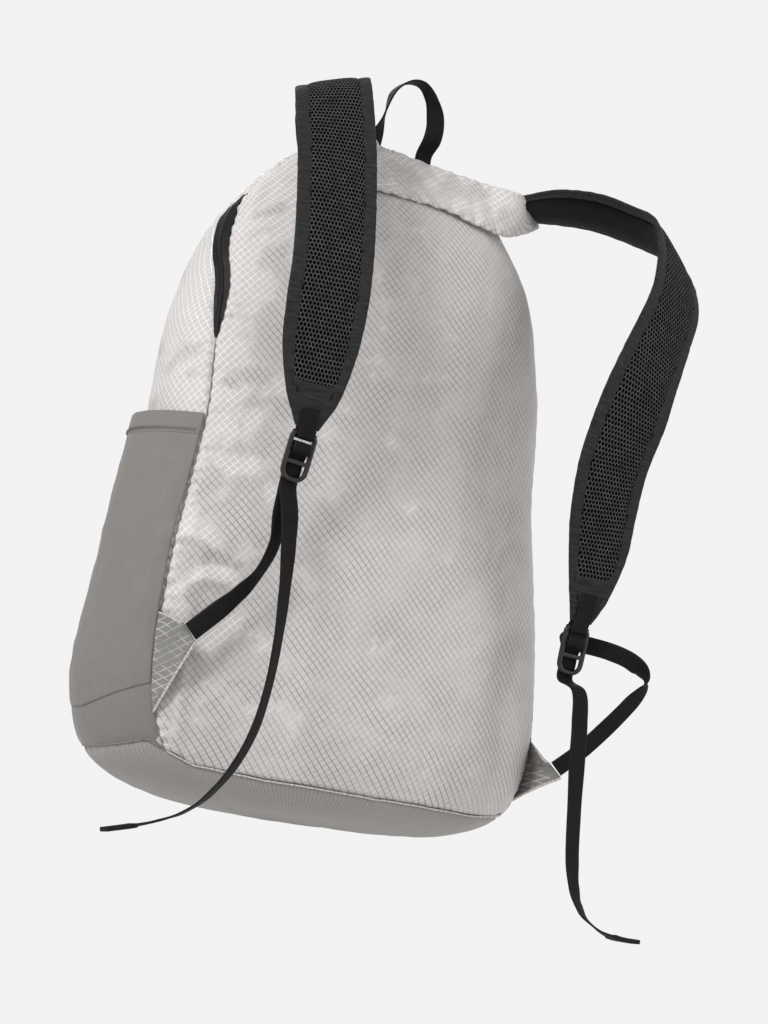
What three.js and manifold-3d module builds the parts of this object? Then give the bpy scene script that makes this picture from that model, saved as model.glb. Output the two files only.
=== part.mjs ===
// A packable backpack, hanging free, in millimetres. +Z is up, -Y faces the wearer and the origin
// is the point under the haul loop where the bag hangs.
import * as THREE from "three";
import { mergeVertices } from "three/addons/utils/BufferGeometryUtils.js";
import Module from "manifold-3d";

const wasm = await Module();
wasm.setup();

// Body
const BODY_HEIGHT = 452;
const BODY_WIDTH = 330;
const BODY_DEPTH = 148;
const BODY_SIDE = 5; // the filled bag hangs this far to the right at its foot
const BODY_AXIS = 45; // how far the middle of the fullest section lies in front of the origin
const CLOTH = 1.5;
const SEAM_GAP = 0.4;
const SEAM_FORE = 9; // the side seam lies this far in front of the origin, at the middle of the bag
const SEAM_SKEW = 0.1; // the filled bag has turned, so the right seam lies further forward

// Main zipper
const ZIPPER_WIDTH = 15;
const SLIDER_DOWN = 0.19; // a share of the body's height
const SLIDER_WIDTH = 8;
const SLIDER_LENGTH = 11;
const SLIDER_THICK = 3;
const PULL_LENGTH = 22;

// Side pockets
const POCKET_MOUTH = 199; // below the top of the body
const POCKET_HEIGHT = 195;
const POCKET_SET = 2.5; // the pocket starts this far in front of the side seam
const POCKET_CLOTH = 1.2;
const POCKET_CLEAR = 1.4;
const POCKET_BULGE = 2.2; // how far the mouth stands off the side
const POCKET_DENT = 8.5; // how far the side is pressed in behind the mouth
const POCKET_TURN = 0.73 * Math.PI; // the pocket's front seam, round the body from the wearer's side
const POCKET_COLUMNS = 12;
const POCKET_ROWS = 9;
const HEM_HEIGHT = 15;
const HEM_CLOTH = 1.8;

// Yoke and haul loop
const YOKE_CLOTH = 1.8;
const YOKE_CLEAR = 0.8;
const LOOP_RISE = 50;
const LOOP_SPAN = 40;
const LOOP_TUCK = 5;

// Shoulder straps
const STRAP_WIDTH = 58;
const PAD_THICK = 4.6;
const BINDING_WIDTH = 10;
const BINDING_THICK = 3;
const TAPE_WIDTH = 9;
const TAPE_THICK = 1.2;
const TAPE_LENGTH = 34;

// Adjuster webbing and ladder-lock buckles
const WEBBING_WIDTH = 12.5;
const WEBBING_THICK = 1.3;
const TIP_LENGTH = 20;
const TIP_FOLD = 2.4; // the folded tip is this many times as thick as the webbing
const WEBBING_SLACK = 0.9; // how far it stands off a bar that it turns round
const BUCKLE_WIDTH = 19.5;
const BUCKLE_LENGTH = 33;
const BUCKLE_THICK = 3.4;
const BUCKLE_BAR = 3;
const BUCKLE_SLOT = 6.4;
const BUCKLE_ROUND = 1; // the corners of the slots
const CLEAR = 0.4;

// Corner tabs
const TAB_CLOTH = 1.6;
const TAB_TIP = 15;

const RIBBON_STEP = 9; // the longest step along a webbing
const BODY_TOP = -LOOP_RISE - 2;
const LEFT = -1;
const RIGHT = 1;

// Sections of the filled body from the bottom up. rise is a share of the height, half_width and
// half_depth are shares of half the width and half the depth, and fore of the body's own axis.
const BODY_SECTIONS = [
  { rise: 0.0, half_width: 0.12, half_depth: 0.1, fore: 1.02 },
  { rise: 0.003, half_width: 0.36, half_depth: 0.34, fore: 1.02 },
  { rise: 0.009, half_width: 0.58, half_depth: 0.57, fore: 1.02 },
  { rise: 0.022, half_width: 0.73, half_depth: 0.74, fore: 1.02 },
  { rise: 0.042, half_width: 0.85, half_depth: 0.85, fore: 1.02 },
  { rise: 0.071, half_width: 0.93, half_depth: 0.93, fore: 1.02 },
  { rise: 0.119, half_width: 0.98, half_depth: 0.99, fore: 1.02 },
  { rise: 0.192, half_width: 1.0, half_depth: 1.0, fore: 1.0 },
  { rise: 0.3, half_width: 0.97, half_depth: 0.98, fore: 0.93 },
  { rise: 0.437, half_width: 0.93, half_depth: 0.946, fore: 0.89 },
  { rise: 0.549, half_width: 0.89, half_depth: 0.905, fore: 0.87 },
  { rise: 0.68, half_width: 0.842, half_depth: 0.865, fore: 0.84 },
  { rise: 0.75, half_width: 0.8, half_depth: 0.8, fore: 0.8 },
  { rise: 0.788, half_width: 0.776, half_depth: 0.757, fore: 0.76 },
  { rise: 0.832, half_width: 0.733, half_depth: 0.7, fore: 0.72 },
  { rise: 0.867, half_width: 0.685, half_depth: 0.65, fore: 0.7 },
  { rise: 0.898, half_width: 0.624, half_depth: 0.6, fore: 0.7 },
  { rise: 0.925, half_width: 0.57, half_depth: 0.554, fore: 0.71 },
  { rise: 0.949, half_width: 0.509, half_depth: 0.493, fore: 0.73 },
  { rise: 0.969, half_width: 0.455, half_depth: 0.42, fore: 0.74 },
  { rise: 0.984, half_width: 0.4, half_depth: 0.324, fore: 0.75 },
  { rise: 0.994, half_width: 0.34, half_depth: 0.21, fore: 0.76 },
  { rise: 0.999, half_width: 0.28, half_depth: 0.11, fore: 0.76 },
  { rise: 1.0, half_width: 0.12, half_depth: 0.04, fore: 0.76 },
];
const SECTION_POWER = 2.4;
const SECTION_SIDES = 32;

// Soft folds of the filled panels. Both ends are shares of half the width and of the height down,
// breadth is a share of half the width and lift of half the depth.
const BACK_FOLDS = [
  { out_a: -0.84, down_a: 0.76, out_b: -0.52, down_b: 0.6, breadth: 0.08, lift: 0.055 },
  { out_a: -0.7, down_a: 0.82, out_b: -0.74, down_b: 0.93, breadth: 0.07, lift: 0.05 },
  { out_a: -0.82, down_a: 0.7, out_b: -0.68, down_b: 0.5, breadth: 0.07, lift: -0.05 },
  { out_a: -0.62, down_a: 0.16, out_b: -0.4, down_b: 0.22, breadth: 0.07, lift: 0.05 },
  { out_a: -0.66, down_a: 0.22, out_b: -0.46, down_b: 0.3, breadth: 0.07, lift: -0.045 },
  { out_a: 0.88, down_a: 0.86, out_b: 0.6, down_b: 0.72, breadth: 0.08, lift: 0.045 },
  { out_a: 0.05, down_a: 0.3, out_b: 0.1, down_b: 0.85, breadth: 0.3, lift: 0.03 },
];
const FRONT_FOLDS = [
  { out_a: -0.3, down_a: 0.2, out_b: 0.35, down_b: 0.26, breadth: 0.1, lift: -0.06 },
  { out_a: 0.45, down_a: 0.45, out_b: -0.1, down_b: 0.6, breadth: 0.12, lift: -0.05 },
  { out_a: -0.5, down_a: 0.55, out_b: -0.1, down_b: 0.86, breadth: 0.12, lift: 0.05 },
];

// The seam between the back panel and the front, from the bottom up: fore in shares of the body's
// axis, added to SEAM_FORE, and half_tape the zipper's half width as a share of ZIPPER_WIDTH.
const SEAM_LINE = [
  { rise: -0.1, fore: 0.0, half_tape: 0 },
  { rise: 0.57, fore: 0.0, half_tape: 0 },
  { rise: 0.662, fore: 0.055, half_tape: 0 },
  { rise: 0.667, fore: 0.06, half_tape: 0.04 },
  { rise: 0.7, fore: 0.09, half_tape: 0.16 },
  { rise: 0.74, fore: 0.15, half_tape: 0.24 },
  { rise: 0.77, fore: 0.22, half_tape: 0.28 },
  { rise: 0.81, fore: 0.38, half_tape: 0.38 },
  { rise: 0.855, fore: 0.53, half_tape: 0.5 },
  { rise: 0.9, fore: 0.6, half_tape: 0.5 },
  { rise: 0.95, fore: 0.58, half_tape: 0.5 },
  { rise: 1.1, fore: 0.56, half_tape: 0.5 },
];

// The seam of the base panel: out is a share of half the width and rise of the height.
const BASE_SEAM = [
  { out: -1.3, rise: 0.058 },
  { out: -0.93, rise: 0.06 },
  { out: -0.84, rise: 0.068 },
  { out: -0.77, rise: 0.077 },
  { out: -0.7, rise: 0.066 },
  { out: -0.58, rise: 0.05 },
  { out: -0.3, rise: 0.044 },
  { out: 0.3, rise: 0.044 },
  { out: 0.7, rise: 0.045 },
  { out: 0.84, rise: 0.052 },
  { out: 0.95, rise: 0.062 },
  { out: 1.3, rise: 0.062 },
];

// The yoke's columns from the middle outwards: both ends of a column as shares of half the body's
// width, of its depth and of its height below its top.
const YOKE_RIGHT = [
  { top_out: 0.0, top_fore: 0.095, top_down: -0.016, low_out: 0.0, low_fore: -0.08, low_down: 0.066 },
  { top_out: 0.17, top_fore: 0.085, top_down: -0.009, low_out: 0.16, low_fore: -0.08, low_down: 0.067 },
  { top_out: 0.31, top_fore: 0.06, top_down: -0.003, low_out: 0.29, low_fore: -0.075, low_down: 0.075 },
  { top_out: 0.42, top_fore: 0.025, top_down: 0.003, low_out: 0.4, low_fore: -0.06, low_down: 0.08 },
  { top_out: 0.5, top_fore: -0.015, top_down: 0.007, low_out: 0.5, low_fore: -0.04, low_down: 0.082 },
  { top_out: 0.545, top_fore: -0.04, top_down: 0.011, low_out: 0.62, low_fore: 0.035, low_down: 0.064 },
];
const YOKE_LEFT = [
  { top_out: -0.05, top_fore: 0.092, top_down: -0.017, low_out: -0.15, low_fore: -0.08, low_down: 0.067 },
  { top_out: -0.07, top_fore: 0.084, top_down: -0.016, low_out: -0.27, low_fore: -0.075, low_down: 0.074 },
  { top_out: -0.085, top_fore: 0.07, top_down: -0.014, low_out: -0.37, low_fore: -0.06, low_down: 0.078 },
  { top_out: -0.095, top_fore: 0.055, top_down: -0.012, low_out: -0.45, low_fore: -0.03, low_down: 0.07 },
  { top_out: -0.1, top_fore: 0.035, top_down: -0.009, low_out: -0.48, low_fore: 0.0, low_down: 0.045 },
];

// The haul loop from its left foot to its right: out is a share of its span, fore and rise are
// shares of its rise, and the feet stand behind the yoke's top edge.
const LOOP_BEND = [
  { out: -0.41, fore: 0.1, rise: -0.5, across: [0.4, 0.92, 0] },
  { out: -0.34, fore: 0.02, rise: -0.18, across: [0.1, 1, 0.1] },
  { out: -0.08, fore: 0.0, rise: 0.0, across: [0, 1, 0] },
  { out: 0.17, fore: 0.0, rise: 0.01, across: [0, 1, 0] },
  { out: 0.38, fore: 0.02, rise: -0.14, across: [-0.3, 0.95, 0.1] },
  { out: 0.53, fore: 0.05, rise: -0.42, across: [-0.75, 0.66, 0] },
  { out: 0.55, fore: 0.1, rise: -0.66, across: [-0.9, 0.44, 0] },
];
const LOOP_FEET = [
  { out: -0.41, across: [0.95, 0.3, 0] },
  { out: 0.46, across: [-1, 0, 0] },
];

// Shoulder straps from the yoke to the buckle: the middle of each section as shares of half the
// body's width, of its depth and of its height below its top, the way its width runs, and the
// width as a share of STRAP_WIDTH.
const STRAP_LEFT = [
  { out: -0.29, fore: 0.07, down: 0.004, across: [-0.95, 0.06, -0.3], width: 0.95 },
  { out: -0.313, fore: 0.052, down: -0.026, across: [-0.95, 0.04, -0.31], width: 1.0 },
  { out: -0.349, fore: 0.005, down: -0.056, across: [-0.94, 0.02, -0.34], width: 1.0 },
  { out: -0.395, fore: -0.075, down: -0.069, across: [-0.93, 0.0, -0.36], width: 1.0 },
  { out: -0.43, fore: -0.165, down: -0.06, across: [-0.94, 0.0, -0.34], width: 1.0 },
  { out: -0.455, fore: -0.26, down: -0.028, across: [-0.97, 0.0, -0.24], width: 1.0 },
  { out: -0.465, fore: -0.38, down: 0.055, across: [-0.995, 0.0, -0.1], width: 1.0 },
  { out: -0.472, fore: -0.47, down: 0.15, across: [-1.0, 0.0, -0.03], width: 1.0 },
  { out: -0.475, fore: -0.515, down: 0.23, across: [-1.0, 0.0, -0.03], width: 1.0 },
  { out: -0.48, fore: -0.525, down: 0.297, across: [-1.0, 0.0, -0.03], width: 1.0 },
  { out: -0.48, fore: -0.51, down: 0.36, across: [-1.0, 0.0, -0.02], width: 0.92 },
  { out: -0.468, fore: -0.475, down: 0.42, across: [-1.0, 0.0, 0.0], width: 0.68 },
  { out: -0.457, fore: -0.44, down: 0.45, across: [-1.0, 0.0, 0.0], width: 0.44 },
  { out: -0.452, fore: -0.417, down: 0.4655, across: [-1.0, 0.0, 0.05], width: 0.3 },
];
const STRAP_RIGHT = [
  { out: 0.594, fore: 0.169, down: 0.018, across: [0.13, 0.98, -0.13], width: 0.93 },
  { out: 0.776, fore: 0.128, down: 0.0, across: [0.31, 0.93, -0.18], width: 0.965 },
  { out: 0.964, fore: 0.047, down: -0.002, across: [0.49, 0.85, -0.19], width: 1.0 },
  { out: 1.109, fore: -0.081, down: 0.018, across: [0.66, 0.71, -0.26], width: 1.0 },
  { out: 1.176, fore: -0.216, down: 0.042, across: [0.77, 0.52, -0.36], width: 1.0 },
  { out: 1.17, fore: -0.345, down: 0.084, across: [0.82, 0.37, -0.43], width: 1.0 },
  { out: 1.127, fore: -0.459, down: 0.137, across: [0.83, 0.3, -0.47], width: 1.0 },
  { out: 1.061, fore: -0.534, down: 0.197, across: [0.82, 0.32, -0.48], width: 1.0 },
  { out: 0.945, fore: -0.608, down: 0.29, across: [0.92, 0.21, -0.33], width: 1.0 },
  { out: 0.903, fore: -0.595, down: 0.35, across: [0.98, 0.11, -0.16], width: 1.0 },
  { out: 0.873, fore: -0.541, down: 0.427, across: [0.99, 0.11, 0.0], width: 0.99 },
  { out: 0.885, fore: -0.48, down: 0.498, across: [0.99, 0.08, 0.08], width: 0.93 },
  { out: 0.903, fore: -0.439, down: 0.555, across: [1.0, 0.0, 0.04], width: 0.79 },
  { out: 0.909, fore: -0.39, down: 0.62, across: [0.99, -0.08, 0.0], width: 0.5 },
  { out: 0.908, fore: -0.348, down: 0.6555, across: [0.99, -0.06, -0.02], width: 0.28 },
];

// Adjuster webbing between the corner tab's tip and the buckle, and the free tail below the
// buckle, as the straps' tables.
const ADJUSTER_LEFT = [
  { out: -0.74, fore: -0.223, down: 0.772, across: [0.66, 0.0, -0.75] },
  { out: -0.66, fore: -0.237, down: 0.742, across: [0.66, 0.0, -0.75] },
  { out: -0.575, fore: -0.257, down: 0.708, across: [0.75, 0.0, -0.66] },
  { out: -0.515, fore: -0.284, down: 0.675, across: [0.87, 0.0, -0.5] },
  { out: -0.475, fore: -0.304, down: 0.633, across: [0.98, 0.0, -0.2] },
  { out: -0.467, fore: -0.318, down: 0.58, across: [1.0, 0.0, -0.05] },
];
const ADJUSTER_RIGHT = [
  { out: 1.018, fore: -0.081, down: 0.867, across: [0.82, 0.1, -0.56] },
  { out: 1.09, fore: -0.135, down: 0.838, across: [0.82, 0.1, -0.56] },
  { out: 1.164, fore: -0.182, down: 0.803, across: [0.84, 0.1, -0.54] },
  { out: 1.248, fore: -0.23, down: 0.759, across: [0.85, 0.2, -0.5] },
  { out: 1.3, fore: -0.257, down: 0.727, across: [0.6, 0.65, -0.45] },
  { out: 1.279, fore: -0.27, down: 0.711, across: [0.35, 0.8, -0.5] },
  { out: 1.206, fore: -0.297, down: 0.697, across: [0.2, 0.6, -0.78] },
  { out: 1.09, fore: -0.304, down: 0.688, across: [0.1, 0.45, -0.9] },
  { out: 0.985, fore: -0.25, down: 0.682, across: [0.3, 0.3, -0.9] },
  { out: 0.915, fore: -0.235, down: 0.68, across: [0.9, 0.1, -0.4] },
];
const TAIL_LEFT = [
  { out: -0.448, fore: -0.352, down: 0.585, across: [1.0, 0.0, 0.0] },
  { out: -0.436, fore: -0.357, down: 0.631, across: [0.97, 0.25, 0.0] },
  { out: -0.43, fore: -0.365, down: 0.701, across: [0.85, 0.5, 0.0] },
  { out: -0.436, fore: -0.378, down: 0.772, across: [0.75, 0.65, 0.0] },
  { out: -0.455, fore: -0.392, down: 0.834, across: [0.7, 0.7, -0.1] },
  { out: -0.485, fore: -0.392, down: 0.892, across: [0.7, 0.7, -0.15] },
  { out: -0.539, fore: -0.392, down: 0.942, across: [0.6, 0.75, -0.25] },
  { out: -0.624, fore: -0.392, down: 0.989, across: [0.4, 0.85, -0.3] },
  { out: -0.715, fore: -0.392, down: 1.02, across: [0.2, 0.95, -0.2] },
  { out: -0.824, fore: -0.392, down: 1.04, across: [0.05, 1.0, -0.05] },
  { out: -0.93, fore: -0.392, down: 1.053, across: [0.0, 1.0, 0.0] },
  { out: -1.042, fore: -0.392, down: 1.064, across: [0.0, 1.0, 0.0] },
];
const TAIL_RIGHT = [
  { out: 0.928, fore: -0.365, down: 0.757, across: [1.0, 0.1, 0.0] },
  { out: 0.94, fore: -0.385, down: 0.805, across: [1.0, 0.0, 0.0] },
  { out: 0.945, fore: -0.392, down: 0.86, across: [1.0, 0.0, 0.0] },
  { out: 0.958, fore: -0.392, down: 0.931, across: [0.97, 0.2, 0.0] },
  { out: 0.976, fore: -0.392, down: 1.004, across: [0.96, 0.25, 0.1] },
  { out: 1.0, fore: -0.392, down: 1.044, across: [0.85, 0.45, 0.25] },
  { out: 1.036, fore: -0.392, down: 1.071, across: [0.6, 0.7, 0.4] },
  { out: 1.103, fore: -0.392, down: 1.093, across: [0.25, 0.93, 0.25] },
  { out: 1.206, fore: -0.392, down: 1.106, across: [0.0, 1.0, 0.0] },
  { out: 1.315, fore: -0.392, down: 1.108, across: [0.0, 1.0, 0.0] },
];

// Buckles: the middle and the way down the buckle and across it.
const BUCKLE_LEFT = {
  out: -0.458,
  fore: -0.385,
  down: 0.5066,
  run: [-0.09, 0.17, -0.98],
  across: [1, 0, -0.09],
};
const BUCKLE_RIGHT = {
  out: 0.9,
  fore: -0.325,
  down: 0.698,
  run: [-0.04, 0.12, -0.99],
  across: [1, -0.02, -0.04],
};

// Corner tabs: the stretch of side seam that holds each tab, in shares of the height down.
const TAB_LEFT = { from_down: 0.745, to_down: 0.885 };
const TAB_RIGHT = { from_down: 0.82, to_down: 0.922 };

const COLOURS = {
  ripstop: { color: 0xc9c4c1, roughness: 0.55, metalness: 0 },
  stretch: { color: 0x8d8883, roughness: 0.8, metalness: 0 },
  base: { color: 0x8f8a85, roughness: 0.75, metalness: 0 },
  mesh: { color: 0x26282a, roughness: 0.85, metalness: 0 },
  binding: { color: 0x35373a, roughness: 0.7, metalness: 0 },
  webbing: { color: 0x1d1d1f, roughness: 0.75, metalness: 0 },
  zipper: { color: 0x121214, roughness: 0.6, metalness: 0 },
  plastic: { color: 0x1a1b1d, roughness: 0.4, metalness: 0 },
};

const pack = new THREE.Group();

function vector(x, y, z) {
  return new THREE.Vector3(x, y, z);
}

// A place given as shares of the body's half width, depth and height below its top.
function place(out, fore, down) {
  return vector((out * BODY_WIDTH) / 2, fore * BODY_DEPTH, BODY_TOP - down * BODY_HEIGHT);
}

function solidOf(geometry) {
  const bare = geometry.index ? geometry.toNonIndexed() : geometry.clone();
  bare.deleteAttribute("normal");
  bare.deleteAttribute("uv");
  const merged = mergeVertices(bare, 1e-4);
  return new wasm.Manifold(
    new wasm.Mesh({
      numProp: 3,
      vertProperties: merged.attributes.position.array,
      triVerts: new Uint32Array(merged.index.array),
    }),
  );
}

function geometryOf(solid) {
  const mesh = solid.getMesh();
  const count = mesh.vertProperties.length / mesh.numProp;
  const positions = new Float32Array(count * 3);
  for (let i = 0; i < count; i++) {
    positions.set(mesh.vertProperties.subarray(i * mesh.numProp, i * mesh.numProp + 3), i * 3);
  }
  const geometry = new THREE.BufferGeometry();
  geometry.setAttribute("position", new THREE.BufferAttribute(positions, 3));
  geometry.setIndex(new THREE.BufferAttribute(new Uint32Array(mesh.triVerts), 1));
  return geometry;
}

function addMesh(name, solid, finish) {
  const geometry = geometryOf(solid);
  geometry.computeVertexNormals();
  const mesh = new THREE.Mesh(geometry, new THREE.MeshStandardMaterial(COLOURS[finish]));
  mesh.name = name;
  pack.add(mesh);
}

// A closed solid through rings of points. ends lists the triangles that close its first and last
// ring, and extra any points that only they use.
function closeRings(rings, extra, ends) {
  const sides = rings[0].length;
  const index = [...ends];
  for (let i = 0; i < sides; i++) {
    const j = (i + 1) % sides;
    for (let r = 0; r + 1 < rings.length; r++) {
      const a = r * sides;
      const b = a + sides;
      index.push(a + i, a + j, b + j, a + i, b + j, b + i);
    }
  }
  const positions = [...rings.flat(), ...extra].flatMap((p) => [p.x, p.y, p.z]);
  const geometry = new THREE.BufferGeometry();
  geometry.setAttribute("position", new THREE.Float32BufferAttribute(positions, 3));
  geometry.setIndex(index);
  const solid = solidOf(geometry);
  if (solid.volume() >= 0) return solid;
  geometry.setIndex(index.reverse());
  return solidOf(geometry);
}

// A closed solid through rings of points, with a flat fan over the first and the last ring.
function loft(rings) {
  const sides = rings[0].length;
  const middleOf = (ring) => ring.reduce((sum, p) => sum.add(p), vector(0, 0, 0)).divideScalar(sides);
  const first = rings.length * sides;
  const top = first - sides;
  const ends = [];
  for (let i = 0; i < sides; i++) {
    const j = (i + 1) % sides;
    ends.push(first, j, i, first + 1, top + i, top + j);
  }
  return closeRings(rings, [middleOf(rings[0]), middleOf(rings[rings.length - 1])], ends);
}

// A closed sheet between two grids of points, given as rows of equal length.
function sheet(outer, inner) {
  const rings = outer.map((row, r) => [...row, ...[...inner[r]].reverse()]);
  const last = rings[0].length - 1;
  const top = (rings.length - 1) * (last + 1);
  const ends = [];
  for (let i = 0; i + 1 < outer[0].length; i++) {
    const [a, b, c, d] = [i, i + 1, last - i - 1, last - i];
    ends.push(b, a, d, b, d, c);
    ends.push(top + a, top + b, top + c, top + a, top + c, top + d);
  }
  return closeRings(rings, [], ends);
}

// A smooth curve through the rows of a table, read at a share from 0 to 1.
function tableCurve(rows, keys) {
  const curves = keys.map((key) => rows.map((row) => row[key]));
  return (share) => {
    const at = THREE.MathUtils.clamp(share, 0, 1) * (rows.length - 1);
    const low = Math.min(Math.floor(at), rows.length - 2);
    const t = at - low;
    return curves.map((values) => {
      const before = values[Math.max(low - 1, 0)];
      const after = values[Math.min(low + 2, rows.length - 1)];
      const start = (values[low + 1] - before) / 2;
      const end = (after - values[low]) / 2;
      const a = 2 * values[low] - 2 * values[low + 1] + start + end;
      const b = -3 * values[low] + 3 * values[low + 1] - 2 * start - end;
      return ((a * t + b) * t + start) * t + values[low];
    });
  };
}

// A straight-line reading of a table's column at a value of another column.
function readTable(rows, from, value, to) {
  let low = 0;
  while (low < rows.length - 2 && rows[low + 1][from] < value) low++;
  const a = rows[low];
  const b = rows[low + 1];
  const t = THREE.MathUtils.clamp((value - a[from]) / (b[from] - a[from]), 0, 1);
  return a[to] + (b[to] - a[to]) * t;
}

const bodyCurve = tableCurve(BODY_SECTIONS, ["rise", "half_width", "half_depth", "fore"]);

// How far a soft fold lifts the panel at a place given in shares.
function foldLift(folds, out, down) {
  return folds.reduce((sum, fold) => {
    const a = new THREE.Vector2(fold.out_a, (fold.down_a * BODY_HEIGHT * 2) / BODY_WIDTH);
    const b = new THREE.Vector2(fold.out_b, (fold.down_b * BODY_HEIGHT * 2) / BODY_WIDTH);
    const p = new THREE.Vector2(out, (down * BODY_HEIGHT * 2) / BODY_WIDTH);
    const run = b.clone().sub(a);
    const t = THREE.MathUtils.clamp(p.clone().sub(a).dot(run) / run.lengthSq(), 0, 1);
    const off = p.distanceTo(a.clone().addScaledVector(run, t)) / fold.breadth;
    return sum + (fold.lift * Math.exp(-off * off) * BODY_DEPTH) / 2;
  }, 0);
}

// How far the side is pressed in behind a pocket's mouth.
function pocketDent(rise, turn) {
  const mouth = 1 - POCKET_MOUTH / BODY_HEIGHT;
  const below = (mouth - rise) / (POCKET_HEIGHT / BODY_HEIGHT);
  const round = Math.abs(Math.cos(turn)) ** 6;
  const level = Math.exp(-(((below - 0.12) / 0.3) ** 2));
  return POCKET_DENT * round * level;
}

// A point of the body's outside. share runs up the table of sections, turn runs round the body
// from the right side over the front, and offset moves the point out along the section.
function bodyPoint(share, turn, offset) {
  const [rise, halfWidth, halfDepth, fore] = bodyCurve(share);
  const x = Math.cos(turn);
  const y = Math.sin(turn);
  const reach = (Math.abs(x) ** SECTION_POWER + Math.abs(y) ** SECTION_POWER) ** (-1 / SECTION_POWER);
  const folds = y < 0 ? BACK_FOLDS : FRONT_FOLDS;
  const lift = foldLift(folds, x * reach * halfWidth, 1 - rise) * Math.min(1, 3 * y * y);
  const swell = lift - pocketDent(rise, turn) + offset;
  return vector(
    BODY_SIDE * (1 - rise) + (x * reach * halfWidth * BODY_WIDTH) / 2 + x * swell,
    fore * BODY_AXIS + (y * reach * halfDepth * BODY_DEPTH) / 2 + y * swell,
    BODY_TOP - (1 - rise) * BODY_HEIGHT,
  );
}

function shareAtDown(down) {
  let low = 0;
  let high = 1;
  for (let i = 0; i < 30; i++) {
    const middle = (low + high) / 2;
    if (1 - bodyCurve(middle)[0] > down) low = middle;
    else high = middle;
  }
  return (low + high) / 2;
}

function seamFore(rise, x) {
  return SEAM_FORE + readTable(SEAM_LINE, "rise", rise, "fore") * BODY_AXIS + SEAM_SKEW * x;
}

// The turn round the body at which its left or right side lies a distance in front of the seam.
function turnAtSeam(share, side, past) {
  const rise = bodyCurve(share)[0];
  let low = -Math.PI / 2;
  let high = side === RIGHT ? Math.PI / 2 : (-3 * Math.PI) / 2;
  for (let i = 0; i < 30; i++) {
    const middle = (low + high) / 2;
    const point = bodyPoint(share, middle, 0);
    if (point.y < seamFore(rise, point.x) + past) low = middle;
    else high = middle;
  }
  return (low + high) / 2;
}

// The way out of the body at one of its points.
function bodyNormal(share, turn) {
  const step = 0.004;
  const up = bodyPoint(share + step, turn, 0).sub(bodyPoint(share - step, turn, 0));
  const round = bodyPoint(share, turn + step, 0).sub(bodyPoint(share, turn - step, 0));
  return round.cross(up).normalize();
}

function bodyRows() {
  const rows = [];
  const last = BODY_SECTIONS.length - 1;
  BODY_SECTIONS.forEach((section, i) => {
    rows.push(i / last);
    const next = BODY_SECTIONS[i + 1];
    if (next && next.rise - section.rise > 0.12) rows.push((i + 0.5) / last);
  });
  return rows;
}

function bodyRing(share, inset) {
  const ring = [];
  for (let i = 0; i < SECTION_SIDES; i++) {
    const turn = (i * 2 * Math.PI) / SECTION_SIDES;
    const point = bodyPoint(share, turn, 0);
    if (inset > 0) point.addScaledVector(bodyNormal(share, turn), -inset);
    ring.push(point);
  }
  return ring;
}

// The thin wall of the whole body.
function bodyWall() {
  const rows = bodyRows();
  const outer = loft(rows.map((share) => bodyRing(share, 0)));
  const inside = rows.slice(1, -1).map((share) => bodyRing(share, CLOTH));
  return outer.subtract(loft(inside));
}

// A prism along X over an outline in the Y-Z plane, slanted by SEAM_SKEW.
function sidePrism(points) {
  const shape = new THREE.Shape(points.map((p) => new THREE.Vector2(p[0], p[1])));
  const reach = 2 * BODY_WIDTH;
  const geometry = new THREE.ExtrudeGeometry(shape, { depth: reach, bevelEnabled: false });
  geometry.translate(0, 0, -reach / 2);
  geometry.applyMatrix4(new THREE.Matrix4().set(0, 0, 1, 0, 1, 0, SEAM_SKEW, 0, 0, 1, 0, 0, 0, 0, 0, 1));
  return solidOf(geometry);
}

// One edge of the seam or zipper band, as points in the Y-Z plane from the bottom up.
function seamEdge(side, extra) {
  return SEAM_LINE.map((row) => {
    const half = row.half_tape * ZIPPER_WIDTH + extra;
    return [
      SEAM_FORE + row.fore * BODY_AXIS + side * half,
      BODY_TOP - (1 - row.rise) * BODY_HEIGHT,
    ];
  });
}

function backSide() {
  const edge = seamEdge(-1, SEAM_GAP / 2);
  const far = -BODY_DEPTH;
  return sidePrism([[far, edge[0][1]], ...edge, [far, edge[edge.length - 1][1]]]);
}

function frontSide() {
  const edge = seamEdge(1, SEAM_GAP / 2);
  const far = 2 * BODY_DEPTH;
  return sidePrism([[far, edge[0][1]], ...edge, [far, edge[edge.length - 1][1]]]);
}

function zipperBand() {
  const first = SEAM_LINE.findIndex((row) => row.half_tape > 0);
  const left = seamEdge(-1, -SEAM_GAP / 2).slice(first);
  const right = seamEdge(1, -SEAM_GAP / 2).slice(first);
  return sidePrism([...left, ...right.reverse()]);
}

// A block under or over the base seam, through the whole depth.
function baseBlock(over, shift) {
  const edge = BASE_SEAM.map((row) => [
    (row.out * BODY_WIDTH) / 2,
    BODY_TOP - (1 - row.rise) * BODY_HEIGHT + shift,
  ]);
  const far = over ? BODY_TOP + BODY_HEIGHT : BODY_TOP - 1.5 * BODY_HEIGHT;
  const outline = [[edge[0][0], far], ...edge, [edge[edge.length - 1][0], far]];
  const shape = new THREE.Shape(outline.map((p) => new THREE.Vector2(p[0], p[1])));
  const depth = 4 * BODY_DEPTH;
  const geometry = new THREE.ExtrudeGeometry(shape, { depth, bevelEnabled: false });
  geometry.translate(0, 0, -depth / 2);
  geometry.rotateX(Math.PI / 2);
  return solidOf(geometry);
}

function addBody() {
  const wall = bodyWall();
  const above = wall.intersect(baseBlock(true, SEAM_GAP / 2));
  addMesh("back_panel", above.intersect(backSide()), "ripstop");
  addMesh("front_shell", above.intersect(frontSide()), "ripstop");
  addMesh("base_panel", wall.intersect(baseBlock(false, -SEAM_GAP / 2)), "base");
  addMesh("main_zipper", above.intersect(zipperBand()), "zipper");
}

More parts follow.
